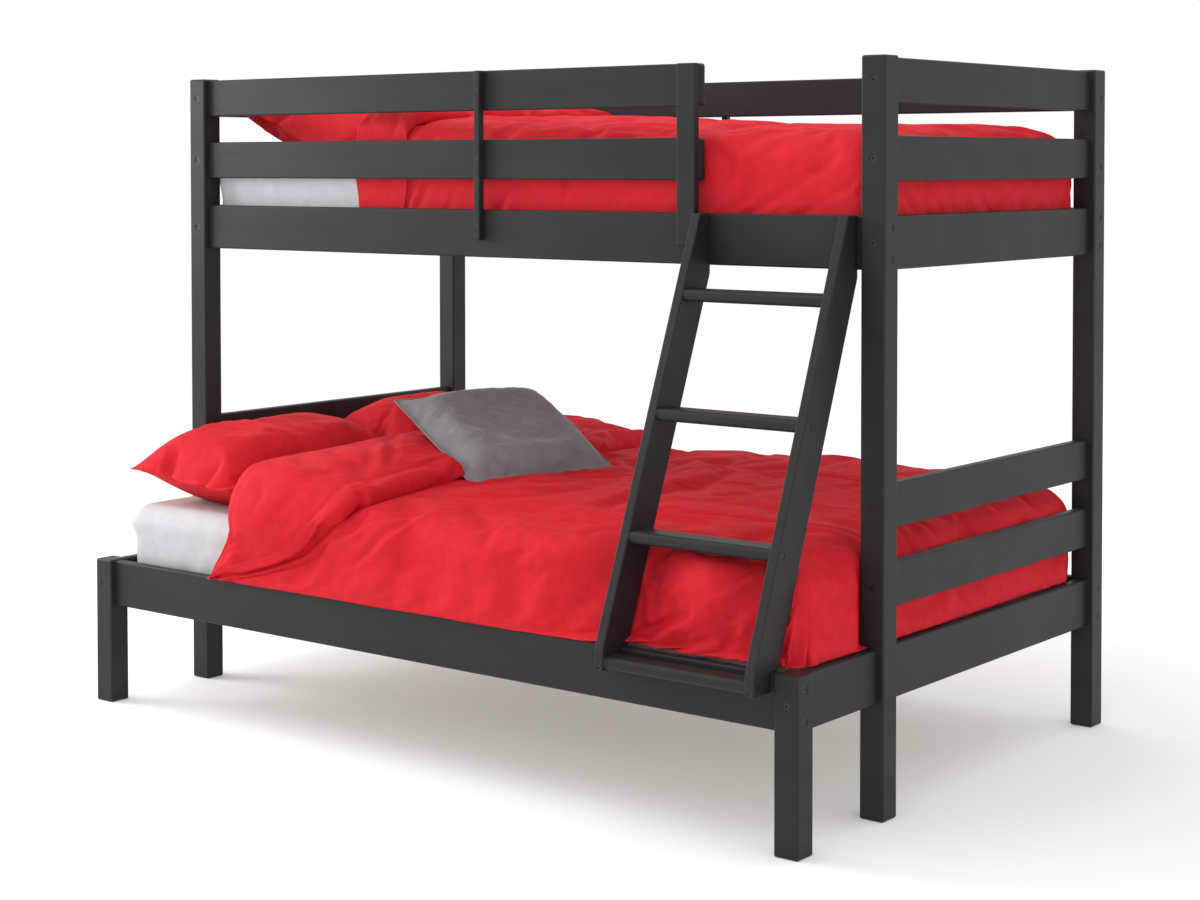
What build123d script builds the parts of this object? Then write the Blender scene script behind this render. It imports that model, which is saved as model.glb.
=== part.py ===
from build123d import *
from collections import namedtuple
import math
import os

# Triple sleeper bunk bed: a narrow bunk over a wider lower bed that steps out in front.
# Millimetres. X runs from the head end to the foot end, the ladder side faces -Y, Z is up.
# The origin is on the floor, in the middle of the footprint.

# Overall sizes of the frame
bed_length = 2010
bunk_depth = 995
step_out = 310
post_size = 54
tall_height = 1514
short_height = 345
post_chamfer = 3
wood_round = 4

# Rails, light ones as guards and load ones that carry a bed base
rail_thickness = 25
light_rail_height = 90
load_rail_height = 108
top_rail_drop = 3
guard_rail_pitch = 155
upper_rail_top = 1198
lower_rail_top = 342
lower_rail_gap = 75
lower_rail_pitch = 158

# Guard uprights and the free ends of the front guard rails
opening_length = 398
free_end_round = 8
batten_width = 17
batten_thickness = 18
batten_lap = 69
batten_from_head = 958
end_board_width = 47
board_round = 3

# Slatted bases
cleat_size = 22
cleat_end_gap = 2
upper_cleat_lift = 2
lower_cleat_lift = 23
slat_width = 70
slat_thickness = 15
slat_count = 14
slat_end_gap = 2
slat_inset = 62
centre_rail_width = 40
centre_rail_height = 40

# Ladder
stile_thickness = 22
stile_width = 80
ladder_lean = 21.3
ladder_head_gap = 5
ladder_foot_gap = 16
stile_foot_reach = 58
stile_foot_drop = 37.5
stile_knee_rise = 2
stile_round = 3
notch_gap = 0.2
tread_count = 3
tread_pitch = 237
bottom_tread_drop = 22
tread_thickness = 25
tread_depth = 66
tread_round = 10
tread_set_back = 3
tread_back_gap = 0.5

# Bolts that pass through a post into a barrel nut in the rail
bolt_diameter = 6
bolt_play = 0.6
bolt_head_diameter = 16
bolt_head_height = 4
bolt_recess = 5
recess_play = 0.8
hex_width = 4
hex_depth = 2.5
nut_diameter = 10
nut_length = 20
nut_play = 0.4
thread_play = 0.2
nut_setback = 35
bolt_overrun = 3
load_bolt_spread = 31
guard_bolt_drop = 18

# Dowels beside the bolts
dowel_diameter = 8
dowel_play = 0.2
dowel_bite = 15
dowel_spread = 26
centre_dowel_spread = 11
tread_dowel_spread = 18
tread_dowel_bite = 11

# Countersunk screws of the uprights and slats, and the screws of the treads
screw_diameter = 4
screw_head_diameter = 8
screw_play = 0.3
screw_head_sink = 0.3
batten_screw_length = 36
board_screw_length = 38
board_screw_spread = 12
slat_screw_length = 32
tread_screw_diameter = 5
tread_screw_head = 13
tread_screw_head_height = 3
tread_screw_recess = 4
tread_screw_length = 52
tread_screw_back = 17

# Ladder bolts and the threaded inserts that take them
insert_diameter = 10
insert_length = 15
insert_play = 0.2
foot_bolt_drop = 11
ladder_bolt_head_diameter = 12
ladder_bolt_tip = 4

# Mattresses
mattress_length = 1900
upper_mattress_width = 896
lower_mattress_width = 1200
upper_mattress_thickness = 165
lower_mattress_thickness = 183
mattress_corner = 45
mattress_edge = 16
mattress_front_gap = 6.5
rest_gap = 0.3

# Duvets
duvet_loft = 76
upper_duvet_loft = 88
duvet_crown = 25
duvet_round = 66
duvet_skirt = 17
duvet_gap = 0.6
duvet_rail_gap = 3.5
duvet_hem_gap = 5
upper_hem_tuck = 30
duvet_post_gap = 3
duvet_corner = 60
lower_duvet_from_head = 418
upper_duvet_from_head = 526
stile_dent_gap = 2

# Pillows and the scatter cushion
pillow_long = 628
back_pillow_long = 536
pillow_wide = 356
pillow_up = 112
pillow_down = 66
back_pillow_up = 132
pillow_draw = 13
pillow_seam_rise = 62
pillow_lean = 5
pillow_split_gap = 8
pillow_side_gap = 12
upper_pillow_long = 700
upper_pillow_wide = 404
upper_pillow_up = 88
upper_pillow_down = 62
upper_pillow_lean = 22
upper_pillow_rise = 86
upper_pillow_rail_gap = 10
cushion_size = 406
cushion_up = 58
cushion_down = 52
cushion_draw = 16
cushion_lean = 23.4
cushion_turn = -18.7
cushion_from_head = 725
cushion_from_front = 372
cushion_seam_rise = 155
cushion_gap = 0.5

# One overrun for every cut that has to pass a face
overrun = 2

# Share of the height, of the seam outline and of its corner rounding, from crown to crown of a stuffed piece
stuffed_shares = ((-1, 0.3, 0.8), (-0.9, 0.6, 0.7), (-0.55, 0.87, 0.4), (0, 1, 0.08),
                  (0.55, 0.87, 0.4), (0.9, 0.6, 0.7), (1, 0.3, 0.8))
# Place along a duvet, height of its top over the mattress, and how far its corners turn in
lower_duvet_shares = (
    (0, 0.46, 0.1), (0.012, 1.1, 0), (0.038, 1.66, 0), (0.085, 1.95, 0), (0.15, 1.78, 0),
    (0.215, 1.36, 0), (0.295, 1.08, 0), (0.48, 1.04, 0), (0.78, 1.08, 0), (0.94, 1, 0.12),
    (0.984, 0.7, 0.42), (1, 0.16, 1))
upper_duvet_shares = (
    (0, 0.42, 0), (0.012, 0.92, 0), (0.045, 1.32, 0), (0.12, 1.42, 0), (0.26, 1.38, 0),
    (0.42, 1.22, 0), (0.62, 1.02, 0), (0.8, 1, 0), (0.94, 0.96, 0), (0.984, 0.66, 0), (1, 0.14, 0))

# Planes that the frame hangs on
half_post = post_size / 2
half_rail = rail_thickness / 2
rail_inset = half_post - half_rail
footprint_front = rail_inset - step_out - stile_foot_reach
footprint_back = bunk_depth - rail_inset + batten_thickness
x_head = -bed_length / 2
x_foot = bed_length / 2
y_bunk = -(footprint_front + footprint_back) / 2
y_back = y_bunk + bunk_depth
y_step = y_bunk - step_out
x_head_line = x_head + half_post
x_foot_line = x_foot - half_post
y_bunk_line = y_bunk + half_post
y_back_line = y_back - half_post
y_step_line = y_step + half_post
x_head_inner = x_head + post_size
x_foot_inner = x_foot - post_size
x_head_clear = x_head_line + half_rail
x_foot_clear = x_foot_line - half_rail
y_bunk_clear = y_bunk_line + half_rail
y_back_clear = y_back_line - half_rail
y_step_clear = y_step_line + half_rail
x_free_end = x_foot_inner - opening_length

# Heights of the rails' tops
guard_top = tall_height - top_rail_drop
guard_low_top = guard_top - guard_rail_pitch
lower_mid_top = lower_rail_top + lower_rail_gap + light_rail_height
lower_high_top = lower_mid_top + lower_rail_pitch

# Radii of the holes
bolt_hole = (bolt_diameter + bolt_play) / 2
dowel_hole = (dowel_diameter + dowel_play) / 2
nut_hole = (nut_diameter + nut_play) / 2
recess_hole = (bolt_head_diameter + recess_play) / 2
ladder_recess_hole = (ladder_bolt_head_diameter + recess_play) / 2
screw_hole = (screw_diameter + screw_play) / 2
screw_sink = screw_head_diameter / 2 + screw_play
tread_screw_hole = (tread_screw_diameter + screw_play) / 2
insert_hole = (insert_diameter + insert_play) / 2
through_length = post_size - bolt_recess + nut_setback + nut_diameter / 2 + bolt_overrun
rail_hole_depth = through_length - post_size + bolt_recess + bolt_overrun

Rail = namedtuple("Rail", "node run line start stop top height inward start_kind stop_kind")

# Every rail, with the joint at each of its ends
rails = []
for end, line, inward in (("head", x_head_line, 1), ("foot", x_foot_line, -1)):
    bunk_span = (y_bunk + post_size, y_back - post_size)
    for name, top, height in (
            ("guard_rail_top", guard_top, light_rail_height),
            ("guard_rail_low", guard_low_top, light_rail_height),
            ("bunk_rail", upper_rail_top, load_rail_height),
            ("lower_rail_high", lower_high_top, light_rail_height),
            ("lower_rail_mid", lower_mid_top, light_rail_height)):
        rails.append(Rail(f"{end}_{name}", "y", line, *bunk_span, top, height, inward, "end", "end"))
    rails.append(Rail(f"{end}_bed_rail", "y", line, *bunk_span, lower_rail_top, load_rail_height,
                      inward, "stud", "end"))
    rails.append(Rail(f"{end}_step_rail", "y", line, y_step + post_size, y_bunk, lower_rail_top,
                      load_rail_height, inward, "end", "stud"))
for side, line, inward, stop, kind in (
        ("front", y_bunk_line, 1, x_free_end, "free"), ("back", y_back_line, -1, x_foot_inner, "guard")):
    rails.append(Rail(f"{side}_guard_rail_top", "x", line, x_head_inner, stop, guard_top,
                      light_rail_height, inward, "guard", kind))
    rails.append(Rail(f"{side}_guard_rail_low", "x", line, x_head_inner, stop, guard_low_top,
                      light_rail_height, inward, "guard", kind))
    rails.append(Rail(f"{side}_bunk_side_rail", "x", line, x_head_inner, x_foot_inner, upper_rail_top,
                      load_rail_height, inward, "load", "load"))
for side, line, inward in (("front", y_step_line, 1), ("back", y_back_line, -1)):
    rails.append(Rail(f"{side}_bed_side_rail", "x", line, x_head_inner, x_foot_inner, lower_rail_top,
                      load_rail_height, inward, "load", "load"))


# Middle height of a rail
def middle(rail):
    return rail.top - rail.height / 2


# Heights of the bolts at a joint
def bolt_heights(rail, kind):
    heights = {
        "end": (middle(rail),),
        "guard": (middle(rail) - guard_bolt_drop,),
        "load": (middle(rail) - load_bolt_spread, middle(rail) + load_bolt_spread),
        "stud": (),
        "free": ()}
    return heights[kind]


# Heights of the dowels at a joint
def dowel_heights(rail, kind):
    pair = (middle(rail) - dowel_spread, middle(rail) + dowel_spread)
    heights = {
        "end": pair, "stud": pair, "guard": (middle(rail) + guard_bolt_drop,),
        "load": (middle(rail),), "free": ()}
    return heights[kind]


# A place on a rail's line: distance along its run, sideways from its middle, and height
def on_rail(rail, along, aside, height):
    if rail.run == "x":
        return (along, rail.line + aside, height)
    return (rail.line + aside, along, height)


# Unit direction along a rail's run
def run_direction(rail, sign):
    return (sign, 0, 0) if rail.run == "x" else (0, sign, 0)


# Unit direction from a rail's middle to the inside of the bed
def inward_direction(rail):
    return (0, rail.inward, 0) if rail.run == "x" else (rail.inward, 0, 0)


# Both ends of a rail: position, direction out of the rail, and kind of joint
def rail_ends(rail):
    return ((rail.start, -1, rail.start_kind), (rail.stop, 1, rail.stop_kind))


# Planes on a rail's ends, facing out, at the heights that a rule gives
def end_planes(rail, rule, shift=0):
    planes = []
    for place, sign, kind in rail_ends(rail):
        for height in rule(rail, kind):
            planes.append(Plane(origin=on_rail(rail, place + sign * shift, 0, height),
                                z_dir=run_direction(rail, sign)))
    return planes


# Heights of the threaded rods that join a bed rail and a step rail through a tall post
def stud_heights(rail, kind):
    return (middle(rail),) if kind == "stud" else ()


# Places of the barrel nuts of a rail: bolts and rods alike
def nut_places(rail):
    places = []
    for place, sign, kind in rail_ends(rail):
        for height in bolt_heights(rail, kind) + stud_heights(rail, kind):
            places.append((place - sign * nut_setback, height))
    return places


# Write one finished piece under its node name
def save(piece, node):
    piece.part.label = node
    export_step(piece.part, f"parts/{node}.step")


# One rail with its bolt, dowel and nut holes, and any further holes given as (planes, radius, depth)
def make_rail(rail, more_holes=(), recesses=()):
    face = Plane(origin=on_rail(rail, rail.start, 0, middle(rail)), z_dir=run_direction(rail, 1),
                 x_dir=inward_direction(rail))
    axis = Axis.X if rail.run == "x" else Axis.Y
    half_nut = (rail_thickness + nut_length) / 2 + thread_play
    with BuildPart() as piece:
        with BuildSketch(face):
            Rectangle(rail_thickness, rail.height)
        extrude(amount=rail.stop - rail.start)
        fillet(piece.edges().filter_by(axis), radius=wood_round)
        if rail.stop_kind == "free":
            tip = piece.faces().sort_by(axis)[-1]
            fillet(tip.edges().filter_by(Axis.Y), radius=free_end_round)
        with Locations(*end_planes(rail, bolt_heights), *end_planes(rail, stud_heights)):
            Hole(radius=bolt_hole, depth=rail_hole_depth)
        with Locations(*end_planes(rail, dowel_heights)):
            Hole(radius=dowel_hole, depth=dowel_bite)
        with Locations(*[Plane(origin=on_rail(rail, along, rail.inward * half_rail, height),
                               z_dir=inward_direction(rail)) for along, height in nut_places(rail)]):
            Hole(radius=nut_hole, depth=half_nut)
        for planes, radius, depth in more_holes:
            with Locations(*planes):
                Hole(radius=radius, depth=depth)
        for planes in recesses:
            with Locations(*planes):
                CounterBoreHole(radius=bolt_hole, counter_bore_radius=ladder_recess_hole,
                                counter_bore_depth=bolt_recess, depth=rail_thickness + overrun)
    save(piece, rail.node)


# The rail ends that meet a post whose middle is at (x, y)
def ends_on_post(x, y):
    found = []
    for rail in rails:
        post_along, post_across = (x, y) if rail.run == "x" else (y, x)
        for place, sign, kind in rail_ends(rail):
            if rail.line == post_across and place == post_along - sign * half_post:
                found.append((rail, place, sign, kind))
    return found


# One post with the holes of all the joints that meet it
def make_post(node, x, y, height):
    bores, dowels, rods = [], [], []
    for rail, place, sign, kind in ends_on_post(x, y):
        outer = place + sign * post_size
        for level in bolt_heights(rail, kind):
            bores.append(Plane(origin=on_rail(rail, outer, 0, level), z_dir=run_direction(rail, sign)))
        for level in dowel_heights(rail, kind):
            dowels.append(Plane(origin=on_rail(rail, place, 0, level), z_dir=run_direction(rail, -sign)))
        if sign < 0:
            for level in stud_heights(rail, kind):
                rods.append(Plane(origin=on_rail(rail, place, 0, level), z_dir=run_direction(rail, -sign)))
    with BuildPart() as piece:
        with BuildSketch():
            with Locations((x, y)):
                Rectangle(post_size, post_size)
        extrude(amount=height)
        fillet(piece.edges().filter_by(Axis.Z), radius=wood_round)
        chamfer(piece.faces().sort_by(Axis.Z)[-1].edges(), length=post_chamfer)
        chamfer(piece.faces().sort_by(Axis.Z)[0].edges(), length=post_chamfer)
        with Locations(*bores):
            CounterBoreHole(radius=bolt_hole, counter_bore_radius=recess_hole,
                            counter_bore_depth=bolt_recess, depth=post_size + overrun)
        with Locations(*dowels):
            Hole(radius=dowel_hole, depth=dowel_bite)
        if rods:
            with Locations(*rods):
                Hole(radius=bolt_hole, depth=post_size + overrun)
    save(piece, node)


# Hexagon-socket bolts whose head seats on each plane and whose shank runs the other way
def make_bolts(node, groups, head_diameter=bolt_head_diameter):
    with BuildPart() as bolts:
        for seats, length in groups:
            with Locations(*seats):
                Cylinder(radius=head_diameter / 2, height=bolt_head_height,
                         align=(Align.CENTER, Align.CENTER, Align.MIN))
                Cylinder(radius=bolt_diameter / 2, height=length,
                         align=(Align.CENTER, Align.CENTER, Align.MAX))
        for seats, length in groups:
            with BuildSketch(*[seat.offset(bolt_head_height) for seat in seats]):
                RegularPolygon(radius=hex_width / 2, side_count=6, major_radius=False)
            extrude(amount=-hex_depth, mode=Mode.SUBTRACT)
    save(bolts, node)


# Countersunk screws, head flush just under each plane
def make_screws(node, groups):
    head_height = (screw_head_diameter - screw_diameter) / 2
    with BuildPart() as screws:
        for planes, length in groups:
            with Locations(*[plane.offset(-screw_head_sink) for plane in planes]):
                Cone(bottom_radius=screw_diameter / 2, top_radius=screw_head_diameter / 2,
                     height=head_height, align=(Align.CENTER, Align.CENTER, Align.MAX))
                Cylinder(radius=screw_diameter / 2, height=length,
                         align=(Align.CENTER, Align.CENTER, Align.MAX))
    save(screws, node)


# A block with turned corners and softened edges, used for the mattresses
def soft_block(x_from, x_to, y_from, y_to, z_from, z_to, corner, edge):
    with BuildPart() as block:
        with BuildSketch(Plane.XY.offset(z_from)):
            with Locations(((x_from + x_to) / 2, (y_from + y_to) / 2)):
                RectangleRounded(x_to - x_from, y_to - y_from, radius=corner)
        extrude(amount=z_to - z_from)
        fillet(block.faces().filter_by(Plane.XY).edges(), radius=edge)
    return block.part


# A stuffed form lofted through outlines parallel to its seam plane
def stuffed_form(seam, long, wide, up, down, draw, grow=0):
    with BuildPart() as form:
        for height_share, outline_share, corner_share in stuffed_shares:
            rise = height_share * ((up if height_share > 0 else down) + grow)
            a = outline_share * (long / 2) + grow
            b = outline_share * (wide / 2) + grow
            bow = draw * (2 * outline_share - 1)
            turn = corner_share * b
            cut = turn * (1 - math.cos(math.pi / 4))
            with BuildSketch(seam.offset(rise)):
                with BuildLine():
                    ThreePointArc((turn - a, -b), (0, bow - b), (a - turn, -b))
                    ThreePointArc((a - turn, -b), (a - cut, cut - b), (a, turn - b))
                    ThreePointArc((a, turn - b), (a - bow, 0), (a, b - turn))
                    ThreePointArc((a, b - turn), (a - cut, b - cut), (a - turn, b))
                    ThreePointArc((a - turn, b), (0, b - bow), (turn - a, b))
                    ThreePointArc((turn - a, b), (cut - a, b - cut), (-a, b - turn))
                    ThreePointArc((-a, b - turn), (bow - a, 0), (-a, turn - b))
                    ThreePointArc((-a, turn - b), (cut - a, cut - b), (turn - a, -b))
                make_face()
        loft()
    return form.part


# A duvet's outer form, lofted through cross sections along the bed
def quilt_form(x_from, x_to, y_from, y_to, hem, rest, loft_height, stations):
    middle_y = (y_from + y_to) / 2
    bend = duvet_round * (1 - math.cos(math.pi / 4))
    with BuildPart() as form:
        for place_share, height_share, turn_share in stations:
            x = x_from + place_share * (x_to - x_from)
            top = rest + height_share * loft_height
            edge = top - duvet_crown * min(1, height_share)
            near = y_from + turn_share * duvet_corner
            far = y_to - turn_share * duvet_corner
            side = edge - duvet_round * min(1, height_share)
            turn = bend * min(1, height_share)
            with BuildSketch(Plane.YZ.offset(x)):
                with BuildLine():
                    Line((near, hem), (near, side))
                    ThreePointArc((near, side), (near + bend, edge - turn), (near + duvet_round, edge))
                    ThreePointArc((near + duvet_round, edge), (middle_y, top), (far - duvet_round, edge))
                    ThreePointArc((far - duvet_round, edge), (far - bend, edge - turn), (far, side))
                    Line((far, side), (far, hem))
                    Line((far, hem), (near, hem))
                make_face()
        loft()
    return form.part


os.makedirs("parts", exist_ok=True)

# Ladder geometry in the YZ plane
lean = math.tan(math.radians(ladder_lean))
stile_run = stile_width / math.cos(math.radians(ladder_lean))
y_lower_face = y_step_line - half_rail
y_upper_face = y_bunk_line - half_rail
y_foot = y_lower_face - stile_foot_reach
z_foot = lower_rail_top - stile_foot_drop
z_knee = lower_rail_top + stile_knee_rise
stile_lefts = (x_free_end + ladder_head_gap, x_foot_inner - ladder_foot_gap - stile_thickness)


# Front and back edges of a stile at a height
def stile_front(height):
    return y_foot + lean * (height - z_knee)


def stile_back(height):
    return stile_front(height) + stile_run


z_break = z_knee + (y_upper_face - stile_run - y_foot) / lean
step_level = lower_rail_top + notch_gap
step_face = y_lower_face - notch_gap
stile_outline = (
    (step_face, z_foot), (y_foot, z_foot), (y_foot, z_knee),
    (stile_front(upper_rail_top), upper_rail_top), (y_upper_face, upper_rail_top),
    (y_upper_face, z_break), (stile_back(step_level), step_level), (step_face, step_level))

bottom_tread_middle = lower_rail_top - bottom_tread_drop
tread_middles = [bottom_tread_middle + tread_pitch * (count + 1) for count in range(tread_count)]
foot_bolt_height = bottom_tread_middle - foot_bolt_drop
head_bolt_height = upper_rail_top - load_rail_height / 2
stile_middles = [left + stile_thickness / 2 for left in stile_lefts]
foot_bolt_planes = [Plane(origin=(x, y_foot, foot_bolt_height), z_dir=(0, -1, 0)) for x in stile_middles]
foot_insert_planes = [Plane(origin=(x, y_lower_face, foot_bolt_height), z_dir=(0, -1, 0))
                      for x in stile_middles]
head_bolt_planes = [Plane(origin=(x, y_bunk_clear, head_bolt_height), z_dir=(0, 1, 0))
                    for x in stile_middles]
head_insert_planes = [Plane(origin=(x, y_upper_face, head_bolt_height), z_dir=(0, 1, 0))
                      for x in stile_middles]
ladder_bolt_reach = insert_length + ladder_bolt_tip

# Screw places of the guard uprights
batten_x = x_head + batten_from_head
board_x = x_free_end - end_board_width / 2
guard_middles = (guard_top - light_rail_height / 2, guard_low_top - light_rail_height / 2)
side_lap_height = upper_rail_top - batten_lap / 2
upright_heights = (*guard_middles, side_lap_height)
front_batten_planes = [Plane(origin=(batten_x, y_upper_face - batten_thickness, z), z_dir=(0, -1, 0))
                       for z in upright_heights]
back_outer = y_back_line + half_rail
back_batten_planes = [Plane(origin=(batten_x, back_outer + batten_thickness, z), z_dir=(0, 1, 0))
                      for z in upright_heights]
board_planes = [Plane(origin=(board_x + side * board_screw_spread, y_bunk_clear, z), z_dir=(0, 1, 0))
                for z in upright_heights for side in (-1, 1)]

# Posts
posts = (
    ("head_front_post", x_head_line, y_bunk_line, tall_height),
    ("foot_front_post", x_foot_line, y_bunk_line, tall_height),
    ("head_back_post", x_head_line, y_back_line, tall_height),
    ("foot_back_post", x_foot_line, y_back_line, tall_height),
    ("head_step_leg", x_head_line, y_step_line, short_height),
    ("foot_step_leg", x_foot_line, y_step_line, short_height))
for node, x, y, height in posts:
    make_post(node, x, y, height)

# Slat and cleat levels
upper_slat_bottom = upper_rail_top - load_rail_height + upper_cleat_lift + cleat_size
lower_slat_bottom = lower_rail_top - load_rail_height + lower_cleat_lift + cleat_size
upper_base = upper_slat_bottom + slat_thickness
lower_base = lower_slat_bottom + slat_thickness
y_centre_rail = (y_step_clear + y_back_clear) / 2
centre_rail_middle = lower_slat_bottom - centre_rail_height / 2

# Rails, each with the holes of the pieces that are fixed to it
screw_bite_front = batten_screw_length - batten_thickness + overrun
for rail in rails:
    holes, recesses = [], []
    outer_face = rail.line - rail.inward * half_rail
    inside = rail.height / 2
    if rail.run == "x" and rail.top > lower_rail_top:
        source = front_batten_planes if rail.inward > 0 else back_batten_planes
        planes = [Plane(origin=(p.origin.X, outer_face, p.origin.Z), z_dir=p.z_dir)
                  for p in source if abs(p.origin.Z - middle(rail)) < inside]
        holes.append((planes, screw_hole, screw_bite_front))
        if rail.inward > 0:
            planes = [p for p in board_planes if abs(p.origin.Z - middle(rail)) < inside]
            holes.append((planes, screw_sink, (screw_head_diameter - screw_diameter) / 2 + screw_head_sink))
            holes.append((planes, screw_hole, rail_thickness + overrun))
    if rail.node == "front_bunk_side_rail":
        recesses.append(head_bolt_planes)
    if rail.node == "front_bed_side_rail":
        holes.append((foot_insert_planes, insert_hole, insert_length + overrun))
        holes.append((foot_insert_planes, bolt_hole, ladder_bolt_reach + overrun))
    if rail.node.endswith("_bed_rail"):
        planes = [Plane(origin=(rail.line + rail.inward * half_rail, y_centre_rail + side * centre_dowel_spread,
                                centre_rail_middle), z_dir=(rail.inward, 0, 0)) for side in (-1, 1)]
        holes.append((planes, dowel_hole, dowel_bite))
    make_rail(rail, holes, recesses)


# A guard upright: a small board from the top of the guard down over the bunk's side rail
def make_upright(node, x, width, y_from, screw_planes, from_behind):
    bottom = upper_rail_top - batten_lap
    with BuildPart() as board:
        with BuildSketch(Plane.XY.offset(bottom)):
            with Locations((x, y_from + batten_thickness / 2)):
                Rectangle(width, batten_thickness)
        extrude(amount=guard_top - bottom)
        fillet(board.edges(), radius=board_round)
        with Locations(*screw_planes):
            if from_behind:
                Hole(radius=screw_hole, depth=board_screw_length - rail_thickness + overrun)
            else:
                CounterSinkHole(radius=screw_hole, counter_sink_radius=screw_sink,
                                counter_sink_angle=90, depth=batten_thickness + overrun)
    save(board, node)


y_front_upright = y_upper_face - batten_thickness
board_back_planes = [Plane(origin=(p.origin.X, y_upper_face, p.origin.Z), z_dir=(0, 1, 0))
                     for p in board_planes]
make_upright("front_guard_batten", batten_x, batten_width, y_front_upright, front_batten_planes, False)
make_upright("back_guard_batten", batten_x, batten_width, back_outer, back_batten_planes, False)
make_upright("front_guard_end_board", board_x, end_board_width, y_front_upright, board_back_planes, True)

# Slats of one base, screwed to the cleats and, below, to the centre rail
slat_first = x_head_clear + slat_inset
slat_pitch = (x_foot_clear - slat_inset - slat_first) / (slat_count - 1)
slat_xs = [slat_first + count * slat_pitch for count in range(slat_count)]


def slat_screw_places(y_from, y_to, middle_screw):
    places = [y_from + cleat_size / 2, y_to - cleat_size / 2]
    return places + [(y_from + y_to) / 2] if middle_screw else places


def make_base(slat_node, cleat_node, y_from, y_to, bottom, middle_screw):
    screw_ys = slat_screw_places(y_from, y_to, middle_screw)
    top = bottom + slat_thickness
    slat_length = y_to - y_from - 2 * slat_end_gap
    with BuildPart() as slat:
        with BuildSketch(Plane.XY.offset(bottom)):
            with Locations((0, (y_from + y_to) / 2)):
                Rectangle(slat_width, slat_length)
        extrude(amount=slat_thickness)
        fillet(slat.edges().filter_by(Axis.Y), radius=board_round)
        with Locations(*[(0, y, top) for y in screw_ys]):
            CounterSinkHole(radius=screw_hole, counter_sink_radius=screw_sink,
                            counter_sink_angle=90, depth=slat_thickness + overrun)
    with BuildPart() as slats:
        with Locations(*[(x, 0, 0) for x in slat_xs]):
            add(slat.part)
    save(slats, slat_node)
    cleat_length = x_foot_inner - x_head_inner - 2 * cleat_end_gap
    cleat_ys = (y_from + cleat_size / 2, y_to - cleat_size / 2)
    with BuildPart() as cleats:
        with BuildSketch(Plane.XY.offset(bottom - cleat_size)):
            with Locations(*[((x_head_inner + x_foot_inner) / 2, y) for y in cleat_ys]):
                Rectangle(cleat_length, cleat_size)
        extrude(amount=cleat_size)
        with Locations(*[(x, y, bottom) for x in slat_xs for y in cleat_ys]):
            Hole(radius=screw_hole, depth=slat_screw_length - slat_thickness + overrun)
    save(cleats, cleat_node)
    return [Plane(origin=(x, y, top), z_dir=(0, 0, 1)) for x in slat_xs for y in screw_ys]


upper_screws = make_base("bunk_slats", "bunk_cleats", y_bunk_clear, y_back_clear, upper_slat_bottom, False)
lower_screws = make_base("bed_slats", "bed_cleats", y_step_clear, y_back_clear, lower_slat_bottom, True)

# Centre rail under the lower slats
centre_ends = ((x_head_clear, -1), (x_foot_clear, 1))
centre_dowel_planes = [Plane(origin=(x, y_centre_rail + side * centre_dowel_spread, centre_rail_middle),
                             z_dir=(sign, 0, 0)) for x, sign in centre_ends for side in (-1, 1)]
with BuildPart() as bed_centre_rail:
    with BuildSketch(Plane.YZ.offset(x_head_clear)):
        with Locations((y_centre_rail, centre_rail_middle)):
            Rectangle(centre_rail_width, centre_rail_height)
    extrude(amount=x_foot_clear - x_head_clear)
    with Locations(*centre_dowel_planes):
        Hole(radius=dowel_hole, depth=dowel_bite)
    with Locations(*[(x, y_centre_rail, lower_slat_bottom) for x in slat_xs]):
        Hole(radius=screw_hole, depth=slat_screw_length - slat_thickness + overrun)
save(bed_centre_rail, "bed_centre_rail")


# Front edge and middle height of every tread, the bottom one first
def tread_front(height):
    return max(stile_front(height), y_foot) + tread_set_back


tread_list = [(bottom_tread_middle, y_lower_face - tread_back_gap - tread_front(bottom_tread_middle))]
tread_list += [(height, tread_depth) for height in tread_middles]
tread_left = stile_lefts[0] + stile_thickness
tread_right = stile_lefts[1]


# Dowel places along the depth of a tread
def tread_dowel_ys(height, depth):
    middle_y = tread_front(height) + depth / 2
    return (middle_y, middle_y + tread_dowel_spread)


# One stile, with the notch that stands on the lower rail
def make_stile(node, left, outward):
    outer_x = left if outward < 0 else left + stile_thickness
    inner_x = left + stile_thickness if outward < 0 else left
    screws = [Plane(origin=(outer_x, tread_front(z) - tread_set_back + tread_screw_back, z),
                    z_dir=(outward, 0, 0)) for z, depth in tread_list]
    dowels = [Plane(origin=(inner_x, y, z), z_dir=(-outward, 0, 0))
              for z, depth in tread_list for y in tread_dowel_ys(z, depth)]
    at_stile = [abs(x - left - stile_thickness / 2) < stile_thickness for x in stile_middles].index(True)
    with BuildPart() as stile:
        with BuildSketch(Plane.YZ.offset(left)):
            with BuildLine():
                Polyline(*stile_outline, close=True)
            make_face()
        extrude(amount=stile_thickness)
        rims = [edge for edge in stile.edges() if abs(edge.tangent_at(0).X) < notch_gap
                and edge.length > stile_foot_drop / 2 and edge.center().Y < y_upper_face - stile_round]
        fillet(rims, radius=stile_round)
        with Locations(*screws):
            CounterBoreHole(radius=tread_screw_hole, counter_bore_radius=tread_screw_head / 2 + screw_play,
                            counter_bore_depth=tread_screw_recess, depth=stile_thickness + overrun)
        with Locations(*dowels):
            Hole(radius=dowel_hole, depth=tread_dowel_bite)
        with Locations(foot_bolt_planes[at_stile]):
            CounterBoreHole(radius=bolt_hole, counter_bore_radius=ladder_recess_hole,
                            counter_bore_depth=bolt_recess, depth=stile_foot_reach + overrun)
        with Locations(head_insert_planes[at_stile]):
            Hole(radius=insert_hole, depth=insert_length + overrun)
            Hole(radius=bolt_hole, depth=ladder_bolt_reach + overrun)
    save(stile, node)
    return screws, dowels


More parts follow.
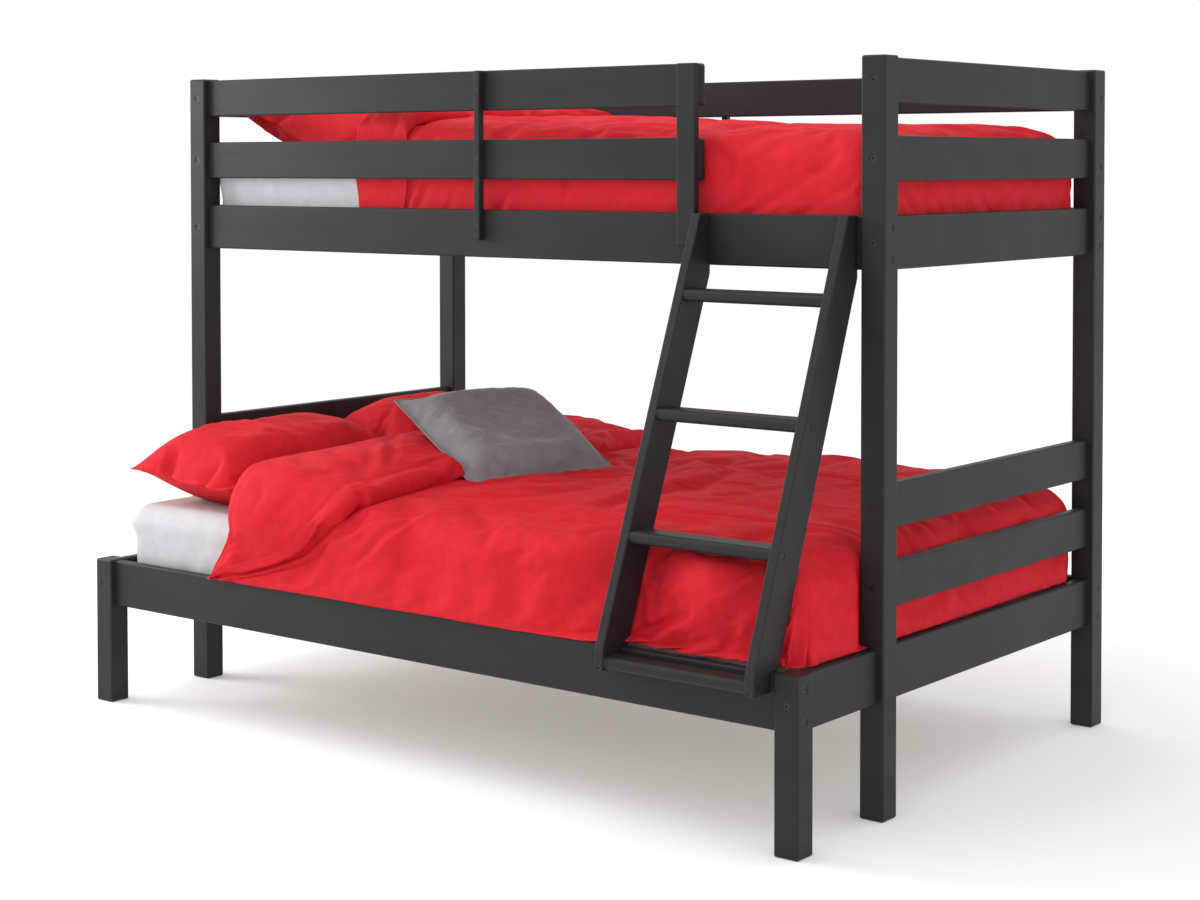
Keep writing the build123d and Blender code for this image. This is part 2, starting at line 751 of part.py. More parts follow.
head_screws, head_dowels = make_stile("ladder_head_stile", stile_lefts[0], -1)
foot_screws, foot_dowels = make_stile("ladder_foot_stile", stile_lefts[1], 1)


# A tread between the stiles, with its screw and dowel holes
def make_treads(node, picked):
    with BuildPart() as treads:
        with BuildSketch(Plane.YZ.offset(tread_left)):
            for height, depth in picked:
                with Locations((tread_front(height) + depth / 2, height)):
                    RectangleRounded(depth, tread_thickness, radius=tread_round)
        extrude(amount=tread_right - tread_left)
        for height, depth in picked:
            screw_y = tread_front(height) - tread_set_back + tread_screw_back
            for x, sign in ((tread_left, -1), (tread_right, 1)):
                with Locations(Plane(origin=(x, screw_y, height), z_dir=(sign, 0, 0))):
                    Hole(radius=tread_screw_hole, depth=tread_screw_length - stile_thickness + overrun)
                with Locations(*[Plane(origin=(x, y, height), z_dir=(sign, 0, 0))
                                 for y in tread_dowel_ys(height, depth)]):
                    Hole(radius=dowel_hole, depth=dowel_bite)
    save(treads, node)


make_treads("ladder_bottom_tread", tread_list[:1])
make_treads("ladder_treads", tread_list[1:])

# Bolts of the posts, threaded rods through the tall posts, and barrel nuts
seat_shift = post_size - bolt_recess
end_seats = [plane for rail in rails if rail.run == "y" for plane in end_planes(rail, bolt_heights, seat_shift)]
side_seats = [plane for rail in rails if rail.run == "x" for plane in end_planes(rail, bolt_heights, seat_shift)]
make_bolts("end_rail_bolts", [(end_seats, through_length)])
make_bolts("side_rail_bolts", [(side_seats, through_length)])

rod_reach = nut_setback + nut_diameter / 2 + bolt_overrun
rod_planes = [Plane(origin=(x, y_bunk + half_post, lower_rail_top - load_rail_height / 2), z_dir=(0, 1, 0))
              for x in (x_head_line, x_foot_line)]
with BuildPart() as joining_rods:
    with Locations(*rod_planes):
        Cylinder(radius=bolt_diameter / 2, height=post_size + 2 * rod_reach)
save(joining_rods, "joining_rods")

with BuildPart() as barrel_nuts:
    for rail in rails:
        nut_planes = [Plane(origin=on_rail(rail, along, 0, height), z_dir=inward_direction(rail))
                      for along, height in nut_places(rail)]
        bore_planes = [Plane(origin=plane.origin, z_dir=run_direction(rail, 1)) for plane in nut_planes]
        with Locations(*nut_planes):
            Cylinder(radius=nut_diameter / 2, height=nut_length)
        with Locations(*bore_planes):
            Cylinder(radius=(bolt_diameter + thread_play) / 2, height=nut_diameter + overrun,
                     mode=Mode.SUBTRACT)
save(barrel_nuts, "barrel_nuts")

# Dowels: half in a post or stile, half in the rail or tread
with BuildPart() as wood_dowels:
    for rail in rails:
        with Locations(*end_planes(rail, dowel_heights)):
            Cylinder(radius=dowel_diameter / 2, height=2 * dowel_bite - thread_play)
    with Locations(*centre_dowel_planes):
        Cylinder(radius=dowel_diameter / 2, height=2 * dowel_bite - thread_play)
    with Locations(*head_dowels, *foot_dowels):
        Cylinder(radius=dowel_diameter / 2, height=2 * tread_dowel_bite - thread_play)
save(wood_dowels, "wood_dowels")

# Screws of the guard uprights, the slats and the treads
make_screws("guard_screws", [(front_batten_planes + back_batten_planes, batten_screw_length),
                             (board_planes, board_screw_length)])
make_screws("slat_screws", [(upper_screws + lower_screws, slat_screw_length)])
with BuildPart() as tread_screws:
    with Locations(*[plane.offset(-tread_screw_recess) for plane in head_screws + foot_screws]):
        Cylinder(radius=tread_screw_head / 2, height=tread_screw_head_height,
                 align=(Align.CENTER, Align.CENTER, Align.MIN))
        Cylinder(radius=tread_screw_diameter / 2, height=tread_screw_length - tread_screw_recess,
                 align=(Align.CENTER, Align.CENTER, Align.MAX))
save(tread_screws, "tread_screws")

# Ladder bolts and their inserts
foot_seats = [plane.offset(-bolt_recess) for plane in foot_bolt_planes]
head_seats = [plane.offset(-bolt_recess) for plane in head_bolt_planes]
make_bolts("ladder_bolts", [
    (foot_seats, stile_foot_reach - bolt_recess + ladder_bolt_reach),
    (head_seats, rail_thickness - bolt_recess + ladder_bolt_reach)], ladder_bolt_head_diameter)
with BuildPart() as ladder_inserts:
    with Locations(*foot_insert_planes, *head_insert_planes):
        Cylinder(radius=insert_diameter / 2, height=insert_length,
                 align=(Align.CENTER, Align.CENTER, Align.MAX))
        Cylinder(radius=(bolt_diameter + thread_play) / 2, height=insert_length + overrun,
                 align=(Align.CENTER, Align.CENTER, Align.MAX), mode=Mode.SUBTRACT)
save(ladder_inserts, "ladder_inserts")

# Mattresses
mattress_x = (x_head_inner + x_foot_inner - mattress_length) / 2
upper_y = (y_bunk_clear + y_back_clear - upper_mattress_width) / 2
lower_y = y_step_clear + mattress_front_gap
upper_rest = upper_base + rest_gap
lower_rest = lower_base + rest_gap
upper_bed_top = upper_rest + upper_mattress_thickness
lower_bed_top = lower_rest + lower_mattress_thickness


# Both mattresses share one form; a grown copy leaves the duvet its clearance
def mattress_form(y_from, width, z_from, z_to, grow=0):
    return soft_block(mattress_x - grow, mattress_x + mattress_length + grow, y_from - grow,
                      y_from + width + grow, z_from - grow, z_to + grow,
                      mattress_corner + grow, mattress_edge + grow)


# The slanted space that a stile takes up, a little larger all round
def stile_space(left, gap):
    outline = (
        (y_foot - step_out, z_foot), (stile_back(z_foot) + gap, z_foot),
        (stile_back(upper_rail_top) + gap, upper_rail_top), (y_foot - step_out, upper_rail_top))
    with BuildPart() as space:
        with BuildSketch(Plane.YZ.offset(left - gap)):
            with BuildLine():
                Polyline(*outline, close=True)
            make_face()
        extrude(amount=stile_thickness + 2 * gap)
    return space.part


with BuildPart() as bunk_mattress:
    add(mattress_form(upper_y, upper_mattress_width, upper_rest, upper_bed_top))
save(bunk_mattress, "bunk_mattress")

with BuildPart() as bed_mattress:
    add(mattress_form(lower_y, lower_mattress_width, lower_rest, lower_bed_top))
    for left in stile_lefts:
        add(stile_space(left, stile_dent_gap), mode=Mode.SUBTRACT)
save(bed_mattress, "bed_mattress")


# The space of a tall post at the foot end, with a gap round it
def post_space(y):
    with BuildPart() as space:
        with BuildSketch():
            with Locations((x_foot_line, y)):
                Rectangle(post_size + 2 * duvet_post_gap, post_size + 2 * duvet_post_gap)
        extrude(amount=tall_height)
    return space.part


# Scatter cushion, leaning on the turned-down duvet
cushion_level = Plane((x_head + cushion_from_head, y_bunk + cushion_from_front,
                       lower_bed_top + cushion_seam_rise))
cushion_seam = cushion_level.rotated((0, 0, cushion_turn)).rotated((0, cushion_lean, 0))

with BuildPart() as scatter_cushion:
    add(stuffed_form(cushion_seam, cushion_size, cushion_size, cushion_up, cushion_down, cushion_draw))
save(scatter_cushion, "scatter_cushion")

# Duvets: a padded cover with skirts that hang round the mattress
duvet_x_to = x_foot_clear - duvet_rail_gap
with BuildPart() as bed_duvet:
    add(quilt_form(x_head + lower_duvet_from_head, duvet_x_to, lower_y - duvet_skirt,
                   y_back_clear - duvet_rail_gap, lower_rail_top + duvet_hem_gap, lower_bed_top,
                   duvet_loft, lower_duvet_shares))
    add(mattress_form(lower_y, lower_mattress_width, lower_rest, lower_bed_top, duvet_gap), mode=Mode.SUBTRACT)
    for left in stile_lefts:
        add(stile_space(left, stile_dent_gap), mode=Mode.SUBTRACT)
    for y in (y_bunk_line, y_back_line):
        add(post_space(y), mode=Mode.SUBTRACT)
    add(stuffed_form(cushion_seam, cushion_size, cushion_size, cushion_up, cushion_down, cushion_draw,
                     cushion_gap), mode=Mode.SUBTRACT)
save(bed_duvet, "bed_duvet")

with BuildPart() as bunk_duvet:
    add(quilt_form(x_head + upper_duvet_from_head, duvet_x_to, y_bunk_clear + duvet_rail_gap,
                   y_back_clear - duvet_rail_gap, upper_rail_top - upper_hem_tuck, upper_bed_top,
                   upper_duvet_loft, upper_duvet_shares))
    add(mattress_form(upper_y, upper_mattress_width, upper_rest, upper_bed_top, duvet_gap), mode=Mode.SUBTRACT)
    for y in (y_bunk_line, y_back_line):
        add(post_space(y), mode=Mode.SUBTRACT)
save(bunk_duvet, "bunk_duvet")


# A pillow on a mattress, cut flat where it rests
def make_pillow(node, x, y, seam_height, long, wide, up, down, pillow_tilt, rest):
    seam = Plane((x, y, seam_height), x_dir=(0, 1, 0), z_dir=(math.sin(math.radians(pillow_tilt)), 0,
                                                              math.cos(math.radians(pillow_tilt))))
    with BuildPart() as pillow:
        add(stuffed_form(seam, long, wide, up, down, pillow_draw))
        split(bisect_by=Plane.XY.offset(rest + rest_gap), keep=Keep.TOP)
    save(pillow, node)


pillow_x = x_head + lower_duvet_from_head - pillow_side_gap - pillow_wide / 2
front_pillow_y = lower_y + pillow_side_gap + pillow_long / 2
back_pillow_y = front_pillow_y + pillow_long / 2 + pillow_split_gap + back_pillow_long / 2
pillow_seam_height = lower_bed_top + pillow_seam_rise
make_pillow("front_pillow", pillow_x, front_pillow_y, pillow_seam_height, pillow_long, pillow_wide,
            pillow_up, pillow_down, pillow_lean, lower_bed_top)
make_pillow("back_pillow", pillow_x, back_pillow_y, pillow_seam_height, back_pillow_long, pillow_wide,
            back_pillow_up, pillow_down, pillow_lean, lower_bed_top)

upper_pillow_half = upper_pillow_wide / 2 * math.cos(math.radians(upper_pillow_lean))
make_pillow("bunk_pillow", x_head_clear + upper_pillow_rail_gap + upper_pillow_half,
            upper_y + upper_mattress_width / 2, upper_bed_top + upper_pillow_rise, upper_pillow_long,
            upper_pillow_wide, upper_pillow_up, upper_pillow_down, upper_pillow_lean, upper_bed_top)
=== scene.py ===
# %% [markdown]
# # A bunk bed for three, made up in red
# The bed is painted pine: a narrow bunk over a wider lower bed, with a slanted ladder.
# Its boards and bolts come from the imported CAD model, and they keep their shape here.
# This lesson gives them their paint, and it makes the mattresses, duvets, pillows and the cushion.

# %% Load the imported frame
import bmesh
import bpy
import math
import numpy as np
from mathutils import Matrix, Vector
from mathutils.bvhtree import BVHTree


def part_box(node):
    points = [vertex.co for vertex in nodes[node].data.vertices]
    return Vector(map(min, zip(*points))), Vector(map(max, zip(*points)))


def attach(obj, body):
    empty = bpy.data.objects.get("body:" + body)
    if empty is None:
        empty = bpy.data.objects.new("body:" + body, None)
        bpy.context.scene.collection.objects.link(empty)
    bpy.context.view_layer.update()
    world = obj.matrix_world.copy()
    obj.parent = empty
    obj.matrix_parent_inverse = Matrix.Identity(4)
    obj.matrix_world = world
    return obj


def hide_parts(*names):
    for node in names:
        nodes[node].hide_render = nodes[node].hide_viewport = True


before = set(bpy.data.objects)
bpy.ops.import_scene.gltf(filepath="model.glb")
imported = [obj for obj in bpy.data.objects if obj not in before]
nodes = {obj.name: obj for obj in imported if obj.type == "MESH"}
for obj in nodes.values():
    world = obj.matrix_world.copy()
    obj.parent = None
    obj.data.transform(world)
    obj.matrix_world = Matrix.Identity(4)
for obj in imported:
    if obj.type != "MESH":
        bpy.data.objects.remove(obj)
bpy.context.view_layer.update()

scene = bpy.context.scene
scene.view_settings.view_transform = "Standard"

# %% [markdown]
# ## Camera
# The photograph was taken from the foot end, a little above the ladder's top, with a long lens.
# Its camera was worked out from the vanishing lines of the rails, so its place and turn are numbers here.
# The lens shift keeps the posts upright, as a view camera does, so the camera hardly tilts.

# %% Camera
image_width, image_height = 1200, 900
sensor_width = 36
focal_pixels = 2203.19
principal_x, principal_y = 552.77, 230.23
camera_place = (3.2019, -4.0821, 1.3021)
yaw, pitch, roll = math.radians(38.87), math.radians(-1.74), math.radians(-0.08)

camera_data = bpy.data.cameras.new("photo_camera")
camera = bpy.data.objects.new("photo_camera", camera_data)
scene.collection.objects.link(camera)
camera.matrix_world = (Matrix.Translation(camera_place) @ Matrix.Rotation(yaw, 4, "Z")
                       @ Matrix.Rotation(math.pi / 2 + pitch, 4, "X") @ Matrix.Rotation(roll, 4, "Z"))
camera_data.sensor_width = sensor_width
camera_data.lens = sensor_width * focal_pixels / image_width
camera_data.shift_x = (image_width / 2 - principal_x) / image_width
camera_data.shift_y = (principal_y - image_height / 2) / image_width
camera_data.clip_end = 200
scene.camera = camera
shift = round(camera_data.shift_x, 4), round(camera_data.shift_y, 4)
print("lens", round(camera_data.lens, 1), "mm, shift", shift)

# %% [markdown]
# ## Colour and nodes
# Colours are written as the sRGB hex values that a paint chart gives.
# Shaders work in linear light, so one function turns them.
# A second small function adds any node, with its settings and links, which keeps each material short.
# A third, coat, gives the finished colour and bump to the shader.

# %% Helpers for colours and nodes
def linear(hex_text):
    channels = [int(hex_text[i:i + 2], 16) / 255 for i in (1, 3, 5)]
    return (*[c / 12.92 if c <= 0.04045 else ((c + 0.055) / 1.055) ** 2.4 for c in channels], 1)


def add_node(tree, kind, inputs=None, **settings):
    node = tree.nodes.new(kind)
    for name, value in settings.items():
        setattr(node, name, value)
    for name, value in (inputs or {}).items():
        if isinstance(value, bpy.types.NodeSocket):
            tree.links.new(value, node.inputs[name])
        else:
            node.inputs[name].default_value = value
    return node


def new_material(name, roughness, sheen=0, metallic=0, specular=0.5):
    material = bpy.data.materials.new(name)
    material.use_nodes = True
    tree = material.node_tree
    shader = tree.nodes["Principled BSDF"]
    shader.inputs["Roughness"].default_value = roughness
    shader.inputs["Sheen Weight"].default_value = sheen
    shader.inputs["Metallic"].default_value = metallic
    shader.inputs["Specular IOR Level"].default_value = specular
    return material, tree, shader


def coat(material, colour, normal):
    tree = material.node_tree
    shader = tree.nodes["Principled BSDF"]
    tree.links.new(colour, shader.inputs["Base Color"])
    tree.links.new(normal, shader.inputs["Normal"])
    return material


def colour_steps(tree, factor, *steps):
    ramp = add_node(tree, "ShaderNodeValToRGB", {0: factor})
    elements = ramp.color_ramp.elements
    while len(elements) < len(steps):
        elements.new(0.5)
    for element, (place, colour) in zip(elements, steps):
        element.position = place
        element.color = linear(colour)
    return ramp.outputs["Color"]


print("white is", linear("#ffffff")[:3])

# %% [markdown]
# ## Studio
# The photograph is a catalogue shot on a white sweep, lit by large soft lamps.
# A pale floor catches the soft shadow, and the bright world is the rest of the sweep.
# The floor also glows a little, as white acrylic lit from below does, which keeps the shadow pale.

# %% Floor, world and lights
floor_mesh = bpy.data.meshes.new("studio_floor")
floor_half = 30
floor_corners = [(x * floor_half, y * floor_half, 0) for x, y in ((-1, -1), (1, -1), (1, 1), (-1, 1))]
floor_mesh.from_pydata(floor_corners, [], [(0, 1, 2, 3)])
studio_floor = bpy.data.objects.new("studio_floor", floor_mesh)
scene.collection.objects.link(studio_floor)
floor_paint, _, floor_shader = new_material("matt white sweep", 0.9, specular=0.1)
floor_shader.inputs["Base Color"].default_value = linear("#f0f1f2")
floor_shader.inputs["Emission Color"].default_value = (0.97, 0.99, 1, 1)
floor_shader.inputs["Emission Strength"].default_value = 0.14
floor_mesh.materials.append(floor_paint)

world = bpy.data.worlds.new("white sweep")
world.use_nodes = True
world.node_tree.nodes["Background"].inputs["Color"].default_value = (1, 1, 1, 1)
world.node_tree.nodes["Background"].inputs["Strength"].default_value = 1.0
scene.world = world


def softbox(name, place, aim, size, power):
    data = bpy.data.lights.new(name, "AREA")
    data.shape = "RECTANGLE"
    data.size, data.size_y = size
    data.energy = power
    lamp = bpy.data.objects.new(name, data)
    scene.collection.objects.link(lamp)
    lamp.location = place
    lamp.rotation_euler = (Vector(aim) - Vector(place)).to_track_quat("-Z", "Y").to_euler()
    print(name, power, "W")


softbox("overhead softbox", (-0.6, -1.0, 4.2), (0, 0, 0.6), (4.0, 3.4), 45)
softbox("side softbox", (-3.3, -1.35, 1.75), (-0.1, -0.2, 0.6), (1.6, 1.4), 56)

# %% [markdown]
# ## Painted pine
# The frame is pine under an anthracite satin paint, sprayed on in the factory.
# Such paint hides the colour of the wood, but the grain still telegraphs through as faint ridges
# along each board, and the sprayed skin has a fine orange-peel. So the grain is only in the bump and,
# a little, in the gloss. Each board has its grain along its length, which needs one material a direction.

# %% Painted pine along each direction
mm = 0.001


def grain_space(tree, turn=(0, 0, 0), stretch=(1, 1, 1)):
    place = add_node(tree, "ShaderNodeTexCoord").outputs["Object"]
    turned = add_node(tree, "ShaderNodeMapping", {"Vector": place, "Rotation": turn, "Scale": stretch})
    return turned.outputs[0]


def painted_pine(name, turn):
    material, tree, shader = new_material(name, 0.48, specular=0.22)
    along = grain_space(tree, turn, (0.035, 1, 1))
    # Grain lines about 3 mm apart, wider than real ones, so that they show from three metres away
    grain = add_node(tree, "ShaderNodeTexNoise", {"Vector": along, "Scale": 1 / (6 * mm), "Detail": 3,
                                                  "Roughness": 0.6}).outputs["Fac"]
    # Orange-peel of the sprayed paint, 2 mm across
    peel = add_node(tree, "ShaderNodeTexNoise", {"Vector": grain_space(tree, turn), "Scale": 1 / (4 * mm),
                                                 "Detail": 1}).outputs["Fac"]
    # Slow patches of a thicker and a thinner coat
    patches = add_node(tree, "ShaderNodeTexNoise", {"Vector": grain_space(tree, turn, (0.3, 1, 1)),
                                                    "Scale": 1 / (90 * mm), "Detail": 2}).outputs["Fac"]
    paint = colour_steps(tree, patches, (0.3, "#232324"), (0.7, "#29292a"))
    gloss = add_node(tree, "ShaderNodeMapRange", {"Value": grain, "From Min": 0.3, "From Max": 0.7,
                                                  "To Min": 0.44, "To Max": 0.52}).outputs["Result"]
    tree.links.new(gloss, shader.inputs["Roughness"])
    # Edges are eased by the sander. Along them the paint is drawn paler, a painted highlight where the rounded
    # edge catches the light
    eased = add_node(tree, "ShaderNodeBevel", {"Radius": 1.6 * mm}, samples=4).outputs[0]
    flat = add_node(tree, "ShaderNodeNewGeometry").outputs["Normal"]
    turned = add_node(tree, "ShaderNodeVectorMath", {0: eased, 1: flat}, operation="DOT_PRODUCT")
    facing = turned.outputs["Value"]
    edge_highlight = add_node(tree, "ShaderNodeMapRange", {"Value": facing, "From Min": 0.995, "From Max": 0.8,
                                                 "To Min": 0, "To Max": 0.7}).outputs["Result"]
    mixed = add_node(tree, "ShaderNodeMix", {0: edge_highlight, 6: paint, 7: linear("#4a4b4d")}, data_type="RGBA")
    ridges = add_node(tree, "ShaderNodeBump", {"Height": grain, "Strength": 0.12, "Distance": 0.4 * mm,
                                               "Normal": eased})
    skin = add_node(tree, "ShaderNodeBump", {"Height": peel, "Strength": 0.06, "Distance": 0.3 * mm,
                                             "Normal": ridges.outputs[0]})
    return coat(material, mixed.outputs[2], skin.outputs[0])


ladder_lean = math.radians(21.3)
pine_along_x = painted_pine("satin painted pine, grain along the bed", (0, 0, 0))
pine_along_y = painted_pine("satin painted pine, grain across the bed", (0, 0, math.pi / 2))
pine_upright = painted_pine("satin painted pine, upright grain", (0, math.pi / 2, 0))
pine_leaning = painted_pine("satin painted pine, grain up the ladder", (ladder_lean, math.pi / 2, 0))


def finish(material, *names):
    for name in names:
        mesh = nodes[name].data
        if mesh.materials:
            mesh.materials[0] = material
        else:
            mesh.materials.append(material)
    print(material.name, "on", len(names), "nodes")


finish(pine_upright, *[n for n in nodes if n.endswith(("_post", "_leg", "_batten", "_end_board"))])
finish(pine_along_y, *[n for n in nodes if n.startswith(("head_", "foot_")) and "_rail" in n])
finish(pine_along_x, *[n for n in nodes if n.startswith(("front_", "back_")) and "_rail" in n],
       "ladder_treads", "ladder_bottom_tread")
finish(pine_leaning, "ladder_head_stile", "ladder_foot_stile")

# %% [markdown]
# ## Bare pine, beech and steel
# The slats and the strips that carry them are planed pine, left bare, and the dowels are beech.
# Bolts and screws that show are black, darker than the paint: painted shade for the counterbored recesses they
# sit in. Those inside are zinc plated.

# %% Bare wood
def bare_wood(name, turn, light, dark, ring_gap):
    material, tree, _ = new_material(name, 0.62)
    along = grain_space(tree, turn, (0.05, 1, 1))
    drift = add_node(tree, "ShaderNodeTexNoise", {"Vector": along, "Scale": 1 / (60 * mm), "Detail": 2,
                                                  "Distortion": 0.6}).outputs["Fac"]
    bent = add_node(tree, "ShaderNodeMath", {0: drift, 1: 60 * mm / ring_gap}, operation="MULTIPLY")
    rings = add_node(tree, "ShaderNodeMath", {0: bent.outputs[0]}, operation="FRACT").outputs[0]
    fibre = add_node(tree, "ShaderNodeTexNoise", {"Vector": along, "Scale": 1 / (1.5 * mm),
                                                  "Detail": 2}).outputs["Fac"]
    both = add_node(tree, "ShaderNodeMath", {0: rings, 1: fibre}, operation="MULTIPLY").outputs[0]
    wood = colour_steps(tree, both, (0.05, light), (0.55, dark))
    bump = add_node(tree, "ShaderNodeBump", {"Height": fibre, "Strength": 0.2, "Distance": 0.3 * mm})
    return coat(material, wood, bump.outputs[0])


planed_pine = "#dccdb4", "#bda886", 6 * mm
pine_slats = bare_wood("planed pine, grain across the bed", (0, 0, math.pi / 2), *planed_pine)
pine_strips = bare_wood("planed pine, grain along the bed", (0, 0, 0), *planed_pine)
beech_dowel = bare_wood("beech dowel", (0, 0, 0), "#d9b78a", "#b98f60", 3 * mm)
finish(pine_slats, "bed_slats", "bunk_slats")
finish(pine_strips, "bed_cleats", "bunk_cleats", "bed_centre_rail")
finish(beech_dowel, "wood_dowels")


# %% Steel
def steel(name, dark, light, roughness, metallic):
    material, tree, _ = new_material(name, roughness, metallic=metallic)
    speckle = add_node(tree, "ShaderNodeTexNoise", {"Vector": grain_space(tree), "Scale": 1 / (3 * mm),
                                                    "Detail": 3}).outputs["Fac"]
    tone = colour_steps(tree, speckle, (0.35, dark), (0.65, light))
    bump = add_node(tree, "ShaderNodeBump", {"Height": speckle, "Strength": 0.1, "Distance": 0.1 * mm})
    return coat(material, tone, bump.outputs[0])


# The black of the visible heads is painted shade that stands for the shade in their recesses
recess_shade_black_steel = steel("black steel, darkened as the shade of its recesses", "#101011", "#1a1a1b", 0.5, 0)
zinc_steel = steel("zinc plated steel", "#a9abae", "#c2c4c6", 0.35, 1)
finish(recess_shade_black_steel, "end_rail_bolts", "side_rail_bolts", "ladder_bolts", "guard_screws", "tread_screws")
finish(zinc_steel, "barrel_nuts", "ladder_inserts", "joining_rods", "slat_screws")

# %% [markdown]
# ## Cloth finishes
# Bed linen is plain woven cotton: matt, with a faint fuzz that catches light at grazing angles.
# The threads are under half a millimetre, too fine to show, so the weave is drawn 2 mm wide.
# The mattresses are in a white knitted cover, with the same pattern drawn 3 mm wide.
# The cushion is velvet: a dense pile that is dark from the front and pale along its edges and strokes.

# %% Woven cotton
def woven(name, light, dark, thread, depth, roughness, sheen, creasing):
    material, tree, shader = new_material(name, roughness, sheen=sheen, specular=0.12)
    shader.inputs["Sheen Roughness"].default_value = 0.5
    shader.inputs["Sheen Tint"].default_value = linear(light)
    place = grain_space(tree)
    warp, weft = [add_node(tree, "ShaderNodeTexWave", {"Vector": place, "Scale": 0.05 / thread,
                                                       "Distortion": 1.2, "Detail": 1},
                           bands_direction=way).outputs["Fac"] for way in ("X", "Y")]
    weave = add_node(tree, "ShaderNodeMath", {0: warp, 1: weft}, operation="ADD").outputs[0]
    slub = add_node(tree, "ShaderNodeTexNoise", {"Vector": place, "Scale": 1 / (25 * mm), "Detail": 4})
    tone = colour_steps(tree, slub.outputs[0], (0.3, dark), (0.7, light))
    threads = add_node(tree, "ShaderNodeBump", {"Height": weave, "Strength": depth, "Distance": 0.2 * mm})
    # Fine creases, mostly along the bed: ridges 40 mm apart in patches, and smooth cloth between them
    long_way = grain_space(tree, (0, 0, 0.15), (0.3, 1, 0.7))
    ridges = add_node(tree, "ShaderNodeTexNoise", {"Vector": long_way, "Scale": 1 / (75 * mm), "Detail": 2,
                                                   "Roughness": 0.45, "Distortion": 0.6},
                      noise_type="RIDGED_MULTIFRACTAL").outputs[0]
    patches = add_node(tree, "ShaderNodeTexNoise", {"Vector": place, "Scale": 1 / (260 * mm)}).outputs[0]
    where = add_node(tree, "ShaderNodeMapRange", {"Value": patches, "From Min": 0.42, "From Max": 0.62,
                                                  "To Min": 0.15, "To Max": 1}).outputs["Result"]
    creases = add_node(tree, "ShaderNodeMath", {0: ridges, 1: where}, operation="MULTIPLY").outputs[0]
    creased = add_node(tree, "ShaderNodeBump", {"Height": creases, "Strength": creasing, "Distance": 12 * mm,
                                                "Normal": threads.outputs[0]})
    return coat(material, tone, creased.outputs[0])


red_cotton = woven("plain woven red cotton", "#d2242e", "#c61f2a", 2 * mm, 0.15, 0.75, 0.22, 0.7)
white_ticking = woven("white knitted ticking", "#c8c8ca", "#c1c1c3", 3 * mm, 0.3, 0.8, 0.1, 0.03)


# %% Velvet
def velvet(name, light, dark):
    material, tree, shader = new_material(name, 0.85, sheen=0.5, specular=0.15)
    shader.inputs["Sheen Roughness"].default_value = 0.35
    shader.inputs["Sheen Tint"].default_value = linear("#b4b2b6")
    place = grain_space(tree, (0, 0, 0.3), (1, 0.6, 1))
    strokes = add_node(tree, "ShaderNodeTexNoise", {"Vector": place, "Scale": 1 / (45 * mm), "Detail": 5,
                                                    "Roughness": 0.65}).outputs[0]
    pile = add_node(tree, "ShaderNodeTexNoise", {"Vector": place, "Scale": 1 / (2 * mm), "Detail": 1})
    tone = colour_steps(tree, strokes, (0.3, dark), (0.75, light))
    bump = add_node(tree, "ShaderNodeBump", {"Height": pile.outputs[0], "Strength": 0.25,
                                             "Distance": 0.5 * mm})
    return coat(material, tone, bump.outputs[0])


grey_velvet = velvet("grey cotton velvet", "#919295", "#808185")

# %% [markdown]
# ## Meshes of cloth
# Each soft piece starts as a grid of points that follows the cloth's own threads.
# A grid of its own, not a remesh, keeps the creases sharp and the file of each piece small.
# Blender's Cloth then swells and crumples it, and the result is applied, so the piece is a plain mesh.

# %% Helpers for cloth
def falloff(distance, width):
    return np.exp(-(distance / width) ** 2)


def smoothstep(t):
    t = np.clip(t, 0, 1)
    return t * t * (3 - 2 * t)


def mesh_piece(name, points, faces, material):
    mesh = bpy.data.meshes.new(name)
    mesh.from_pydata([tuple(p) for p in points], [], faces)
    shell = bmesh.new()
    shell.from_mesh(mesh)
    bmesh.ops.recalc_face_normals(shell, faces=shell.faces)
    shell.to_mesh(mesh)
    shell.free()
    mesh.polygons.foreach_set("use_smooth", [True] * len(mesh.polygons))
    mesh.materials.append(material)
    mesh.update()
    piece = bpy.data.objects.new(name, mesh)
    scene.collection.objects.link(piece)
    return piece


def grid_faces(rows, columns, first=0, flip=False):
    faces = []
    for i in range(rows - 1):
        for j in range(columns - 1):
            a = first + i * columns + j
            quad = (a, a + 1, a + columns + 1, a + columns)
            faces.append(quad[::-1] if flip else quad)
    return faces


def mesh_points(mesh):
    points = np.empty(len(mesh.vertices) * 3)
    mesh.vertices.foreach_get("co", points)
    return points.reshape(-1, 3)


def points_of(piece):
    return mesh_points(piece.data)


def points_of_evaluated(piece):
    ready = piece.evaluated_get(bpy.context.evaluated_depsgraph_get())
    points = mesh_points(ready.to_mesh())
    ready.to_mesh_clear()
    return points


def set_points(piece, points):
    piece.data.vertices.foreach_set("co", np.asarray(points, float).ravel())
    piece.data.update()


